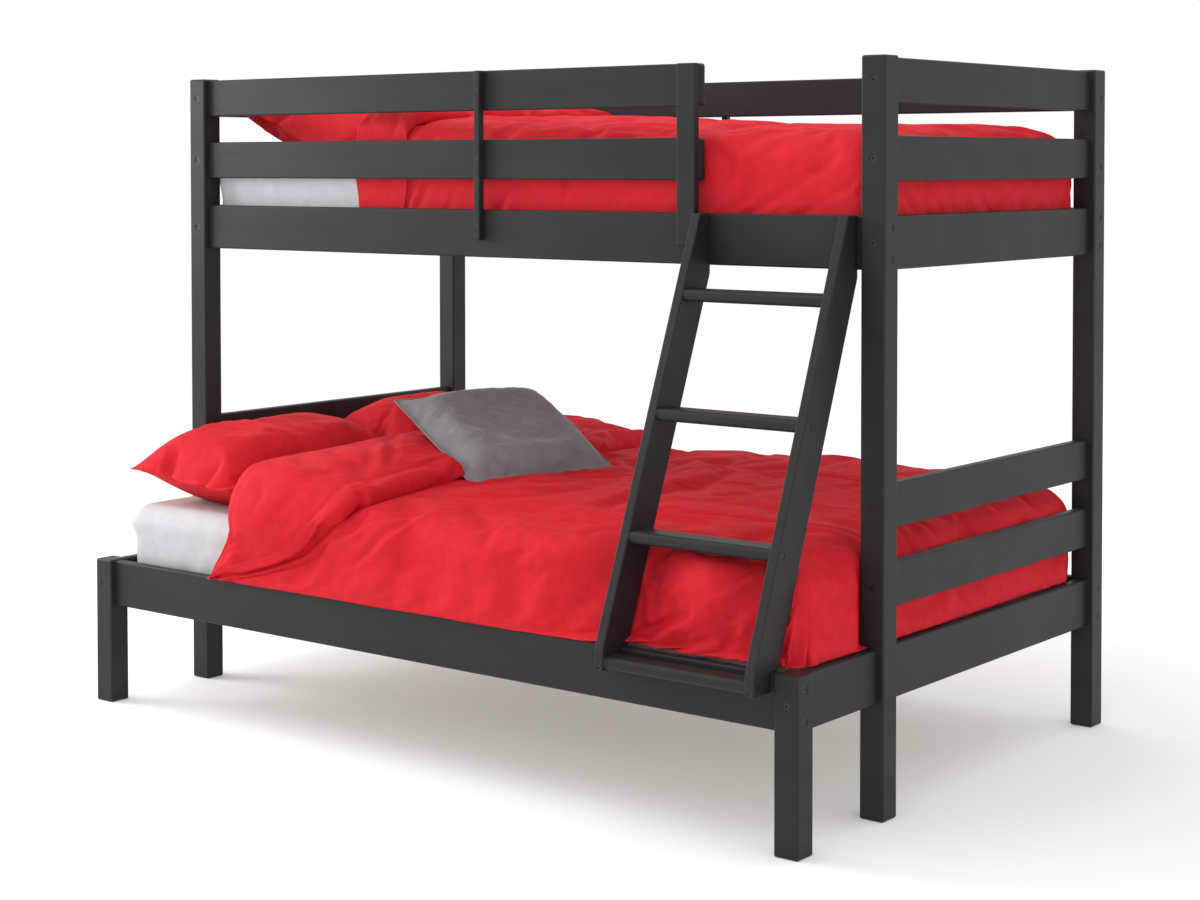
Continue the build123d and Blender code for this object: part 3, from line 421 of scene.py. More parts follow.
def crumple(piece, hold, pressure, growth, cap, frames=20, stiffness=15, bending=0.5):
    start = points_of(piece)
    group = piece.vertex_groups.new(name="hold")
    for level in np.unique(np.round(hold, 2)):
        group.add([int(i) for i in np.nonzero(np.round(hold, 2) == level)[0]], float(level), "REPLACE")
    cloth = piece.modifiers.new("cloth", "CLOTH")
    settings = cloth.settings
    settings.quality = 5
    settings.mass = 0.3
    settings.tension_stiffness = stiffness
    settings.compression_stiffness = stiffness
    settings.shear_stiffness = stiffness / 3
    settings.bending_stiffness = bending
    settings.use_pressure = True
    settings.uniform_pressure_force = pressure
    settings.shrink_min = -growth
    settings.shrink_max = -growth
    settings.effector_weights.gravity = 0
    settings.vertex_group_mass = "hold"
    settings.pin_stiffness = 1
    cloth.collision_settings.use_collision = False
    cloth.collision_settings.use_self_collision = False
    cloth.point_cache.frame_start, cloth.point_cache.frame_end = 1, frames
    for step in range(1, frames + 1):
        scene.frame_set(step)
    moved = points_of_evaluated(piece) - start
    piece.modifiers.remove(cloth)
    piece.vertex_groups.clear()
    scene.frame_set(1)
    reach = np.linalg.norm(moved, axis=1, keepdims=True)
    moved *= np.minimum(1, cap / np.maximum(reach, 1e-9))
    set_points(piece, start + moved)
    print(piece.name, "moved up to", round(float(reach.max()) / mm, 1), "mm, capped at", cap / mm)
    return start + moved


def smooth(piece):
    surface = piece.modifiers.new("smooth", "SUBSURF")
    surface.levels = surface.render_levels = 1
    ready = piece.evaluated_get(bpy.context.evaluated_depsgraph_get())
    finished = bpy.data.meshes.new_from_object(ready)
    piece.modifiers.clear()
    old = piece.data
    piece.data = finished
    bpy.data.meshes.remove(old)
    finished.name = piece.name


# %% [markdown]
# ## What presses into the soft pieces
# The ladder leans in over the lower bed's edge, and the tall posts stand in its corners.
# A soft face that would be inside one of them is pushed back behind it, with a wide soft fall-off,
# as stuffing gives way. Whatever lies under another piece is pushed down below it in the same way.

# %% Dents
stiles = [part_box(node) for node in ("ladder_head_stile", "ladder_foot_stile")]
stile_middles = [(low.x + high.x) / 2 for low, high in stiles]
stile_reach = (stiles[0][1].x - stiles[0][0].x) / 2 + 3 * mm
# One point on the leaning back face of both stiles, and the edge of the part of the bed that they reach
stile_back_y, stile_back_z, ladder_side = -0.514, 0.557, -0.35


def ladder_press(points, clear):
    """How far each point has to go back to lie behind the ladder's stiles, and how far beside them it is."""
    aside = np.minimum(*[np.abs(points[..., 0] - middle) for middle in stile_middles])
    back_face = stile_back_y - (stile_back_z - points[..., 2]) * math.tan(ladder_lean) + clear
    press = np.where(points[..., 1] < ladder_side, np.maximum(back_face - points[..., 1], 0), 0)
    return press, np.maximum(aside - stile_reach, 0)


def dent_for_ladder(points, clear=0.035, width=0.20):
    press, aside = ladder_press(points, clear)
    points[..., 1] += press * falloff(aside, width)
    return points


def dent_cloth(grid, clear):
    """Each pressed point of the grid takes its neighbours back with it, less and less with distance."""
    press, aside = ladder_press(grid, clear)
    press = press * (aside < 6 * mm)
    spread = np.zeros_like(press)
    for i in range(-14, 15):
        for j in range(-16, 17):
            near = np.roll(press, (i, j), (0, 1))
            spread = np.maximum(spread, near * math.exp(-(i / 8) ** 2 - (j / 10) ** 2))
    grid[..., 1] += spread * (grid[..., 1] < 0)
    return grid


def dent_for_posts(points):
    for post in ("foot_front_post", "foot_back_post"):
        low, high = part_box(post)
        face = low.x - 3.5 * mm
        beside = np.maximum(low.y - points[..., 1], points[..., 1] - high.y) - 2.5 * mm
        limit = face + (points[..., 0].max() - face) * (1 - falloff(np.maximum(beside, 0), 0.03))
        points[..., 0] = np.minimum(points[..., 0], limit)
    return points


def sink_under(points, piece, clear=1.5 * mm):
    """Rays that go up from inside the bed find the underside of the piece that lies on it."""
    start, upwards = 0.3, Vector((0, 0, 1))
    tree = BVHTree.FromObject(piece, bpy.context.evaluated_depsgraph_get())
    flat = points.reshape(-1, 3)
    low, high = points_of(piece).min(0), points_of(piece).max(0)
    near = np.nonzero((flat[:, 0] > low[0]) & (flat[:, 0] < high[0]) & (flat[:, 1] > low[1])
                      & (flat[:, 1] < high[1]))[0]
    for k in near:
        hit = tree.ray_cast(Vector((*flat[k, :2], start)), upwards)[0]
        if hit and flat[k, 2] > hit.z - clear:
            flat[k, 2] = hit.z - clear
    return flat.reshape(points.shape)


# %% [markdown]
# ## Mattresses
# A mattress is a block of foam or springs in a stretched cover, under a fitted sheet. Its top edge is
# a wide soft curve, and the sheet bunches at each corner, just below that curve, where its dart is sewn.
# A box with rounded edges is made first, and then the Cloth swells it slightly, so the cover looks filled.

# %% Mattresses
def rounded_box(low, high, cell, edge, corner):
    low, high = np.array(low), np.array(high)
    size = high - low
    count = [max(2, int(round(s / cell))) for s in size]
    index, points, faces = {}, [], []

    def vertex(key):
        if key not in index:
            index[key] = len(points)
            points.append(low + size * np.array(key) / np.array(count))
        return index[key]

    for axis in range(3):
        u, v = [(1, 2), (2, 0), (0, 1)][axis]
        for side in (0, count[axis]):
            for i in range(count[u]):
                for j in range(count[v]):
                    quad = []
                    for di, dj in ((0, 0), (1, 0), (1, 1), (0, 1)):
                        key = [0, 0, 0]
                        key[axis], key[u], key[v] = side, i + di, j + dj
                        quad.append(vertex(tuple(key)))
                    faces.append(tuple(quad) if side else tuple(quad[::-1]))
    points = np.array(points)
    middle, half = (low + high) / 2, size / 2
    local = points - middle
    plan = np.clip(local[:, :2], -(half[:2] - corner), half[:2] - corner)
    off = local[:, :2] - plan
    reach = np.linalg.norm(off, axis=1, keepdims=True)
    square = np.maximum(np.abs(off).max(axis=1, keepdims=True), 1e-9)
    local[:, :2] = plan + off / np.maximum(reach, 1e-9) * square
    side = np.maximum(square[:, 0] - (corner - edge), 0) / edge
    rise = np.maximum(np.abs(local[:, 2]) - (half[2] - edge), 0) / edge
    both = np.sqrt(side ** 2 + rise ** 2)
    pull = np.where((side > 0) & (rise > 0), np.maximum(side, rise) / np.maximum(both, 1e-9), 1)
    inward = off / np.maximum(reach, 1e-9) * (side * (1 - pull) * edge)[:, None]
    local[:, :2] -= inward
    local[:, 2] -= np.sign(local[:, 2]) * rise * (1 - pull) * edge
    return local + middle, faces


def make_mattress(node, corner, edge, grow, duvet_from, bunched):
    low, high = (np.array(v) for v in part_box(node))
    low[:2] -= grow
    high[:2] += grow
    points, faces = rounded_box(low, high, 20 * mm, edge, corner)
    middle = (low + high) / 2
    rise = (points[:, 2] - low[2]) / (high[2] - low[2])
    wall = smoothstep(rise / 0.1) * smoothstep((1 - rise) / 0.2)
    away = np.abs(points[:, :2] - middle[:2]) / ((high - low)[:2] / 2)
    at_corner = falloff(1 - away[:, 0], 0.05) * falloff(1 - away[:, 1], 0.09)
    below_dart = rise - 0.77
    bunch = bunched * falloff(below_dart, 0.07) * at_corner - 4 * mm * wall * (1 - falloff(below_dart, 0.12))
    points[:, :2] += bunch[:, None] * np.sign(points[:, :2] - middle[:2]) * (away > 0.93)
    points[:, 2] += 4 * mm * (1 - away[:, 0] ** 2) * (1 - away[:, 1] ** 2) * (rise > 0.9)
    # The duvet's weight and its folds press the sides, the foot end and the top in
    covered = smoothstep((points[:, 0] - duvet_from) / 0.05) * smoothstep(rise / 0.2)
    points[:, 1] -= 16 * mm * covered * np.clip((points[:, 1] - middle[1]) / ((high[1] - low[1]) / 2), -1, 1)
    points[:, 0] -= 14 * mm * covered * (away[:, 0] > 0.9) * (points[:, 0] > 0)
    points[:, 2] -= 6 * mm * covered * (rise > 0.9)
    if node == "bed_mattress":
        points = dent_for_ladder(points)
    piece = mesh_piece("soft_" + node, points, faces, white_ticking)
    hold = np.full(len(points), 0.3)
    hold[points[:, 2] < low[2] + 12 * mm] = 1
    points = crumple(piece, hold, pressure=0.15, growth=0.01, cap=4 * mm, frames=10)
    points[:, 2] = np.maximum(points[:, 2], low[2] + 0.5 * mm)
    set_points(piece, points)
    smooth(piece)
    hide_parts(node)
    print(piece.name, len(piece.data.polygons), "faces")
    return piece


bed_mattress = make_mattress("bed_mattress", corner=0.055, edge=0.045, grow=0, duvet_from=-0.50,
                             bunched=0.011)
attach(bed_mattress, "frame")
bunk_mattress = make_mattress("bunk_mattress", corner=0.022, edge=0.022, grow=0.006, duvet_from=-0.42,
                              bunched=0)
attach(bunk_mattress, "bunk_mattress_body")

# %% [markdown]
# ## Pillows and the cushion
# A pillow is two flat sheets sewn together round the edge and blown up by its filling.
# That is just how it is made here: two grids share their border, and the Cloth's pressure lifts them.
# The seam draws in between the corners by itself, which leaves the corners standing out as points.
# The blown pillow is then sized to its place, turned, and flattened where it lies on the bed.

# %% Stuffed pieces
def stuffed(name, length, width, cell, pressure, growth, material, bending=1.0):
    rows, columns = int(round(length / cell)) + 1, int(round(width / cell)) + 1
    u = np.linspace(-1, 1, rows)[:, None] * np.ones((1, columns))
    v = np.linspace(-1, 1, columns)[None, :] * np.ones((rows, 1))
    border = (np.abs(u) > 0.9999) | (np.abs(v) > 0.9999)
    lift = 12 * mm * (1 - u ** 4) * (1 - v ** 4)
    top = np.stack([u * length / 2, v * width / 2, lift], -1).reshape(-1, 3)
    under = np.where(border.ravel(), np.arange(rows * columns), -1)
    inner = np.nonzero(~border.ravel())[0]
    under[inner] = rows * columns + np.arange(len(inner))
    bottom = top[inner] * (1, 1, -1)
    faces = grid_faces(rows, columns)
    faces += [tuple(int(under[i]) for i in face[::-1]) for face in faces]
    piece = mesh_piece(name, np.vstack([top, bottom]), faces, material)
    rng = np.random.default_rng(len(name))
    points = points_of(piece)
    points[:, 2] += rng.normal(0, 0.6 * mm, len(points))
    set_points(piece, points)
    free = np.zeros(len(points))
    crumple(piece, free, pressure, growth, cap=1, frames=18, stiffness=20, bending=bending)
    return piece


def place_stuffed(piece, size, centre, axes, rest=None, slack=0.0, straight=0.0):
    """Scale a blown piece to its length, width and rise above and below the seam, and lay it down."""
    long, wide, up, down = size
    points = points_of(piece)
    # Pressure draws a seam in between the corners, and a well-filled cover is cut to make up for it
    for one, other in ((0, 1), (1, 0)):
        half, half_other = np.abs(points[:, one]).max(), np.abs(points[:, other]).max()
        along = points[:, other] / half_other
        place = np.round(along * 24)
        edge = {k: np.abs(points[place == k, one]).max() for k in np.unique(place)}
        reach = np.interp(along * 24, sorted(edge), [edge[k] for k in sorted(edge)])
        share = np.abs(points[:, one]) / reach
        points[:, one] *= 1 + straight * share ** 4 * (half / reach - 1) * (1 - np.abs(along) ** 12)
        points[:, 2] *= 1 - straight * share ** 10
    low, high = points.min(0), points.max(0)
    scale = np.array([long, wide, 1]) / (high - low)
    scale[2] = 1
    points = (points - (low + high) / 2) * scale
    above = points[:, 2] > 0
    far = np.abs(points[:, :2]) / (long / 2, wide / 2)
    points[:, 2] *= 1 - np.where(above, 0.15, 1) * slack * np.maximum(far[:, 0], far[:, 1]) ** 2.2
    points[:, 2] *= np.where(above, up / points[:, 2].max(), down / -points[:, 2].min())
    points = points @ axes + np.array(centre)
    if rest is not None:
        points[:, 2] = np.maximum(points[:, 2], rest + 0.6 * mm)
    set_points(piece, points)
    smooth(piece)
    low, high = points.min(0), points.max(0)
    print(piece.name, [round(float(v), 3) for v in (*low, *high)])


def tilted(lean, turn=0.0):
    """The axes of a piece that leans by so many degrees, after a turn about the upright."""
    lean, turn = math.radians(lean), math.radians(turn)
    up = Vector((math.sin(lean) * math.cos(turn), math.sin(lean) * math.sin(turn), math.cos(lean)))
    across = Vector((-math.sin(turn), math.cos(turn), 0))
    return np.array(Matrix((across, up.cross(across), up)))


bed_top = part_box("bed_mattress")[1].z
bunk_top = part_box("bunk_mattress")[1].z

# %% Pillows
def make_pillow(node, cut, size, centre, lean, rest, slack, straight=0.0):
    piece = stuffed("soft_" + node, *cut, 10 * mm, 2.5, 0.02, red_cotton)
    place_stuffed(piece, size, centre, tilted(lean), rest, slack, straight)
    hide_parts(node)
    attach(piece, node + "_body")


make_pillow("front_pillow", (0.70, 0.42), (0.645, 0.362, 0.118, 0.094), (-0.777, -0.2545, bed_top + 0.069),
            lean=5, rest=bed_top, slack=0.9, straight=0.35)
make_pillow("back_pillow", (0.62, 0.42), (0.536, 0.356, 0.126, 0.085), (-0.777, 0.3295, bed_top + 0.071),
            lean=5, rest=bed_top, slack=0.7)
make_pillow("bunk_pillow", (0.74, 0.46), (0.73, 0.404, 0.088, 0.070), (-0.7682, 0.125, bunk_top + 0.086),
            lean=22, rest=bunk_top, slack=0.3)

# %% Scatter cushion
cushion_cut, cushion_cell = 0.44, 8 * mm
scatter_cushion = stuffed("soft_scatter_cushion", cushion_cut, cushion_cut, cushion_cell, 2, 0.03, grey_velvet,
                          bending=0.5)
place_stuffed(scatter_cushion, (0.418, 0.418, 0.056, 0.050), (-0.28, 0.0495, bed_top + 0.155),
              tilted(23.4, -18.7), straight=0.85)
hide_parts("scatter_cushion")
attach(scatter_cushion, "cushion_body")

# %% [markdown]
# ## Duvets
# A duvet is a quilted bag, soft and heavy at its hems. Both lie over a mattress, drop over its sides and
# stop at the rails. Both are turned down near the pillows, which makes a thick rolled band.
# The outer face is a grid that is wrapped round the mattress: across the top, over the shoulders and down.
# The inner face is a second grid, wrapped closer, and the two are joined at the hem as one closed bag.

# %% Wrap a grid round a mattress
class Wrap:
    """Places of a duvet's face: a is along the bed and b across it, in metres of cloth."""

    def __init__(self, x_foot, y_front, y_back, shoulder, hem, drop):
        self.shoulder, self.hem, self.drop = shoulder, hem, drop
        self.inner_foot = x_foot - shoulder
        self.inner_front, self.inner_back = y_front + shoulder, y_back - shoulder
        self.a_foot = self.inner_foot + drop

    def columns(self, cell):
        return np.arange(self.inner_front - self.drop, self.inner_back + self.drop + mm, cell)

    def depths(self, b):
        """How far down its drop each place lies, 0 to 1, at the front and at the back."""
        return (np.clip((self.inner_front - b) / self.drop, 0, 1),
                np.clip((b - self.inner_back) / self.drop, 0, 1))

    def place(self, a, b, height, head_edge):
        turn = 0.43
        u = np.clip((a - self.inner_foot) / self.drop, 0, 1)
        front, back = self.depths(b)
        w, side = np.where(front > 0, front, back), np.where(front > 0, -1.0, 1.0)
        far = np.maximum(u, w)
        safe = np.maximum(far, 1e-9)
        angle = np.where(u >= w, 0.25 * math.pi * w / safe, 0.25 * math.pi * (2 - u / safe))
        out = np.where(far < turn, np.sin(math.pi / 2 * np.minimum(far / turn, 1)), 1.0) * self.shoulder
        x = np.minimum(a, self.inner_foot) + np.cos(angle) * out * (far > 0)
        y = np.clip(b, self.inner_front, self.inner_back) + side * np.sin(angle) * out * (far > 0)
        x = x + head_edge
        top = height(x, y)
        curl = self.shoulder * (1 - np.cos(math.pi / 2 * np.minimum(far / turn, 1)))
        fall = np.maximum(top - self.shoulder - self.hem, 0) * np.clip((far - turn) / (1 - turn), 0, 1)
        return np.stack([x, y, top - curl - fall], -1)

    def lifted(self, a, b, height, head_edge, lift):
        step = 12 * mm
        along = self.place(a + step, b, height, head_edge) - self.place(a - step, b, height, head_edge)
        across = self.place(a, b + step, height, head_edge) - self.place(a, b - step, height, head_edge)
        normal = np.cross(along, across)
        normal /= np.maximum(np.linalg.norm(normal, axis=2, keepdims=True), 1e-12)
        return self.place(a, b, height, head_edge) + normal * lift[..., None]


def border_loop(rows, columns):
    head = [(0, j) for j in range(columns)]
    right = [(i, columns - 1) for i in range(1, rows)]
    foot = [(rows - 1, j) for j in range(columns - 2, -1, -1)]
    left = [(i, 0) for i in range(rows - 2, 0, -1)]
    return head + right + foot + left


def closed_bag(name, outer, inner, roll, steps, material):
    rows, columns = outer.shape[:2]
    loop = border_loop(rows, columns)
    points = [*outer.reshape(-1, 3), *inner.reshape(-1, 3)]
    count = rows * columns
    rings = [[i * columns + j for i, j in loop]]
    for k in range(1, steps):
        phi, ring = math.pi * k / steps, []
        for i, j in loop:
            middle, arm = (outer[i, j] + inner[i, j]) / 2, (outer[i, j] - inner[i, j]) / 2
            ring.append(len(points))
            points.append(middle + arm * math.cos(phi) + roll[i, j] * math.sin(phi))
        rings.append(ring)
    rings.append([count + i * columns + j for i, j in loop])
    faces = grid_faces(rows, columns) + grid_faces(rows, columns, count, flip=True)
    for one, two in zip(rings, rings[1:]):
        for k in range(len(loop)):
            n = (k + 1) % len(loop)
            faces.append((one[n], one[k], two[k], two[n]))
    return mesh_piece(name, points, faces, material), count


# %% [markdown]
# ## Folds and dents
# The big folds follow the photograph. The turned-down band ends in a soft rolled edge, and beyond it the
# cloth lies smooth, with long fine wrinkles towards the foot and a fan of gathers at the foot corner.
# Each is a small push along the face's own normal. The ladder, the posts and the cushion press dents.

# %% Small shapes for folds
def wrinkle(a, b, start, end, width, depth):
    start, end = np.array(start), np.array(end)
    run = end - start
    length = np.linalg.norm(run)
    along = ((a - start[0]) * run[0] + (b - start[1]) * run[1]) / length ** 2
    off = ((a - start[0]) * run[1] - (b - start[1]) * run[0]) / length
    ends = smoothstep(along / 0.3 + 0.5) * smoothstep((1 - along) / 0.3 + 0.5)
    return depth * (1.5 * falloff(off, 0.85 * width) - 0.8 * falloff(off - 1.7 * width, width)) * ends


def add_wrinkles(lift, a, b, lines):
    for start, end, width, depth in lines:
        lift += wrinkle(a, b, start, end, width * mm, depth * mm)


def ripples(a, b, seed, size, depth, waves=14):
    rng = np.random.default_rng(seed)
    total = np.zeros_like(a)
    for _ in range(waves):
        turn, phase = rng.uniform(0, math.pi), rng.uniform(0, 2 * math.pi)
        wave = rng.uniform(0.6, 1.8) / size
        total += np.sin(2 * math.pi * wave * (a * math.cos(turn) + b * math.sin(turn)) + phase)
    return depth * total / waves ** 0.5


# %% A duvet turned down at its head end
stitch_line = 30 * mm


def turned_down(wrap, b_line, a_head, band_end, band_thick, counts):
    """Places (a, b) and lifts: rows of the band, rows round its rolled edge, and rows on to the foot."""
    band_rows, curl_rows, main_rows = counts
    radius = band_thick / 2
    share = np.linspace(0, 1, band_rows, endpoint=False)[:, None]
    phi = np.linspace(0, math.pi * 1.02, curl_rows)[:, None]
    rest = (np.arange(1, main_rows + 1) / main_rows)[:, None]
    a = np.vstack([a_head + (band_end - radius - a_head) * share,
                   band_end - radius + radius * np.sin(phi),
                   band_end - radius + (wrap.a_foot - band_end + radius) * rest])
    b = np.ones((len(a), 1)) * b_line
    lift = np.zeros_like(a)
    lift[:band_rows] = band_thick
    lift[band_rows:band_rows + curl_rows] = radius * (1 + np.cos(phi))
    on_band = (np.arange(len(a)) < band_rows)[:, None] * np.ones_like(a)
    inside = band_end - radius - a
    # The hem's stitched line draws the cloth in, and so does a fainter one farther from the edge
    drawn_in = 4.5 * mm * falloff(inside - stitch_line, 0.007) + 2 * mm * falloff(inside - 0.12, 0.02)
    lift -= on_band * drawn_in
    under = np.zeros_like(a)
    under[band_rows + curl_rows:] = 1
    under[band_rows:band_rows + curl_rows] = (1 - np.cos(phi)) / 2
    lift -= under * 7 * mm * falloff(inside + radius + 4 * mm, 0.012)
    return a, b, lift, on_band, inside


def under_face(wrap, rows, b_line, a_head, level, flare, depth):
    a = a_head + (wrap.a_foot - a_head) * (np.arange(rows) / (rows - 1))[:, None]
    a = a * np.ones((1, len(b_line)))
    return wrap.place(a, np.ones((rows, 1)) * b_line, lambda x, y: np.full_like(x, level), flare(a, depth))


def hem_roll(outer, head_roll, front=-2 * mm):
    """How far the bag's edge is rounded out: downwards, and at the head end towards the pillows."""
    roll = np.zeros_like(outer)
    roll[..., 2] = -2 * mm
    roll[:, 0, 2] = front
    roll[0, :, 0], roll[0, :, 2] = -head_roll, 0
    return roll


# %% The lower duvet
cell, roll_depth = 10.5 * mm, 0.052
lower_wrap = Wrap(x_foot=0.962, y_front=-0.600, y_back=0.626, shoulder=0.066, hem=0.3455, drop=0.245)
inner_wrap = Wrap(x_foot=0.942, y_front=-0.575, y_back=0.603, shoulder=0.02, hem=0.3455, drop=0.245)
a_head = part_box("bed_duvet")[0].x + roll_depth
b_line = lower_wrap.columns(cell)
depth_front, depth_back = lower_wrap.depths(b_line)
# Where the band ends, from the top of the bed down the front
edge_x = (-0.190, -0.196, -0.215, -0.262, -0.345, -0.480, -0.55)
band_end = np.interp(depth_front, (0, 0.12, 0.25, 0.38, 0.63, 0.90, 1), edge_x)
band_end += 0.010 * np.sin(b_line * 9 + 0.6) * (depth_front == 0) - 0.05 * smoothstep((b_line - 0.25) / 0.5)
thinner = np.minimum(np.interp(depth_front, (0, 0.2, 0.5, 0.8, 1), (1, 0.85, 0.66, 0.5, 0.35)),
                     np.interp(depth_back, (0, 0.15, 0.35, 0.7, 1), (1, 0.8, 0.48, 0.32, 0.25)))
a, b, lift, on_band, inside = turned_down(lower_wrap, b_line, a_head, band_end, 0.044 * thinner,
                                          (30, 12, 108))


def crown(y, rise, middle, half):
    return rise * (1 - ((y - middle) / half) ** 2)


def lower_height(x, y):
    level = np.interp(x, (-0.6, -0.2, 0.2, 0.6, 0.85, 0.97), (0.058, 0.057, 0.054, 0.058, 0.052, 0.03))
    back_rise = np.interp(x, (-0.3, -0.1, 0.2, 0.4, 0.9), (0.010, 0.014, 0.032, 0.036, 0.026))
    rise = crown(y, 0.025, middle=0.013, half=0.617)
    return bed_top + level + rise + back_rise * smoothstep((y - 0.05) / 0.45)


def lower_flare(a, depth):
    flare = np.interp(depth, (0, 0.15, 0.45, 0.8, 1), (0, 0.014, 0.02, -0.03, -0.06))
    return flare * smoothstep((-0.30 - a) / 0.2)


lift += on_band * 0.024 * smoothstep(inside / 0.2) * thinner
# A second, lower fold shows just below the band on the front, with a groove beyond it
fold = 8 * mm * falloff(inside + 0.030, 0.013) - 9 * mm * falloff(inside + 0.056, 0.008)
lift += (1 - on_band) * depth_front ** 0.6 * fold
lift += ripples(a, b, 3, 0.40, 1.8 * mm) + ripples(a, b, 8, 0.16, 0.4 * mm)
# The front hem rests on the rail's top and comes a little over its edge
over_rail = smoothstep((a + 0.62) / 0.1) * smoothstep((0.60 - a) / 0.15)
lift += 0.026 * smoothstep((depth_front - 0.55) / 0.45) * over_rail
# Each wrinkle: its two ends on the cloth in metres, its width and its depth in millimetres
add_wrinkles(lift, a, b, (
    ((-0.10, -0.42), (0.42, -0.40), 10, -5), ((-0.02, -0.36), (0.52, -0.33), 9, -4),
    ((0.10, -0.47), (0.62, -0.45), 10, -5), ((0.34, -0.28), (0.9, -0.25), 12, -5),
    ((0.3, -0.16), (0.92, -0.12), 10, -4), ((0.42, -0.05), (0.93, -0.02), 13, -5),
    ((0.35, 0.10), (0.90, 0.13), 10, -5), ((0.30, 0.26), (0.93, 0.27), 12, -5),
    ((0.45, 0.38), (0.90, 0.42), 10, -4), ((-0.05, 0.02), (0.30, 0.10), 12, -4),
    ((-0.20, -0.62), (0.05, -0.50), 12, -5), ((-0.16, -0.70), (-0.02, -0.56), 10, -5),
    ((0.56, -0.78), (0.72, -0.69), 13, -12), ((0.67, -0.78), (0.78, -0.74), 10, -8),
    ((-0.42, -0.20), (-0.30, -0.34), 12, -5), ((-0.5, 0.2), (-0.32, 0.14), 12, -6)))
# A fan of gathers round the foot corner, where the cloth has to turn down both ways
corner_a, corner_b = a - lower_wrap.inner_foot, lower_wrap.inner_front - b
fan = np.arctan2(np.maximum(corner_b, 0) + 0.02, np.maximum(corner_a, 0) + 0.02)
hem_share = np.clip(np.maximum(corner_a, corner_b) / lower_wrap.drop, 0, 1)
gathers = np.sin(fan * 19 + 1.5 * np.sin(fan * 7)) * smoothstep((hem_share - 0.3) / 0.6)
lift += np.where((corner_a > -0.02) & (corner_b > -0.02), 7 * mm * gathers, 0)
# Short uneven gathers run up from the front hem between and beside the ladder's stiles
rng = np.random.default_rng(12)
for place in (*rng.uniform(0.58, 0.74, 5), *rng.uniform(0.80, 1.12, 9)):
    rise, lean = rng.uniform(0.05, 0.13), rng.uniform(-0.05, 0.07)
    top = place + lean, b_line[0] + rise
    lift += wrinkle(a, b, (place, b_line[0]), top, rng.uniform(0.007, 0.011), -7 * mm)
add_wrinkles(lift, a, b, (
    ((1.00, -0.30), (1.13, -0.16), 9, -7), ((1.04, 0.02), (1.13, 0.10), 9, -6),
    ((1.03, 0.38), (1.13, 0.46), 10, -6)))
outer = lower_wrap.lifted(a, b, lower_height, lower_flare(a, depth_front), lift)
outer[..., 2] -= 7 * mm * smoothstep((depth_front - 0.93) / 0.07) * over_rail
# The foot hem stands out a little, between its two corners
foot_side = (corner_b < 0.02) * (b < lower_wrap.inner_back)
outer[..., 0] += 12 * mm * smoothstep((corner_a / lower_wrap.drop - 0.75) / 0.25) * foot_side
inner = under_face(inner_wrap, len(a), b_line, a_head, bed_top - 3 * mm, lower_flare, depth_front)
roll = hem_roll(outer, np.interp(depth_front, (0, 0.3, 0.6, 1), (roll_depth, 0.03, 0.014, 0.010)), 4 * mm)
lower_inside = np.where(on_band > 0, inside, -1)


# %% Close, swell and finish a duvet
def finish_duvet(node, body, outer, inner, roll, dents):
    piece, count = closed_bag("soft_" + node, outer, inner, roll, 6, red_cotton)
    points = points_of(piece)
    hold = np.ones(len(points))
    rows, columns = outer.shape[:2]
    middle = np.full((rows, columns), 0.12)
    middle[:2], middle[-2:], middle[:, :2], middle[:, -2:] = 0.6, 0.8, 0.8, 0.8
    hold[:count] = middle.ravel()
    points = crumple(piece, hold, pressure=0.5, growth=0.03, cap=10 * mm, frames=16)
    for first, clear in ((0, 3 * mm), (count, 9 * mm)):
        face = points[first:first + count].reshape(rows, columns, 3)
        points[first:first + count] = dents(face, clear)
    set_points(piece, points)
    smooth(piece)
    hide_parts(node)
    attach(piece, body)
    low, high = points.min(0), points.max(0)
    print(piece.name, [round(float(v), 3) for v in (*low, *high)], len(piece.data.polygons), "faces")
    return piece


def lower_dents(grid, clear):
    points = dent_cloth(grid, clear).reshape(-1, 3)
    return sink_under(dent_for_posts(points), scatter_cushion)


bed_duvet = finish_duvet("bed_duvet", "frame", outer, inner, roll, lower_dents)

# %% The bunk's duvet
upper_wrap = Wrap(x_foot=0.962, y_front=-0.2815, y_back=0.6295, shoulder=0.06, hem=1.168, drop=0.20)
inner_wrap = Wrap(x_foot=0.940, y_front=-0.2615, y_back=0.6115, shoulder=0.015, hem=1.168, drop=0.20)
roll_depth = 0.02
a_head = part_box("bunk_duvet")[0].x + roll_depth
b_line = upper_wrap.columns(cell)
depth_front, depth_back = upper_wrap.depths(b_line)
depth_side = np.maximum(depth_front, depth_back)
band_end = np.interp(b_line, (-0.42, -0.22, 0.10, 0.40, 0.70), (-0.318, -0.300, -0.270, -0.330, -0.380))
band_end += 0.008 * np.sin(b_line * 14)
thinner = np.interp(depth_side, (0, 0.2, 0.5, 1), (1, 0.7, 0.3, 0.3))
a, b, lift, on_band, inside = turned_down(upper_wrap, b_line, a_head, band_end, 0.030 * thinner,
                                          (16, 10, 122))


def upper_height(x, y):
    level = np.interp(x, (-0.48, -0.30, -0.1, 0.13, 0.42, 0.68, 0.88, 0.97),
                      (0.090, 0.093, 0.092, 0.082, 0.066, 0.063, 0.060, 0.035))
    rise = crown(y, 0.022, middle=0.174, half=0.455)
    return bunk_top + level + rise + 12 * mm * smoothstep((y - 0.2) / 0.3)


def upper_flare(a, depth):
    return 6 * mm * np.sin(depth * 9) * smoothstep((-0.40 - a) / 0.05)


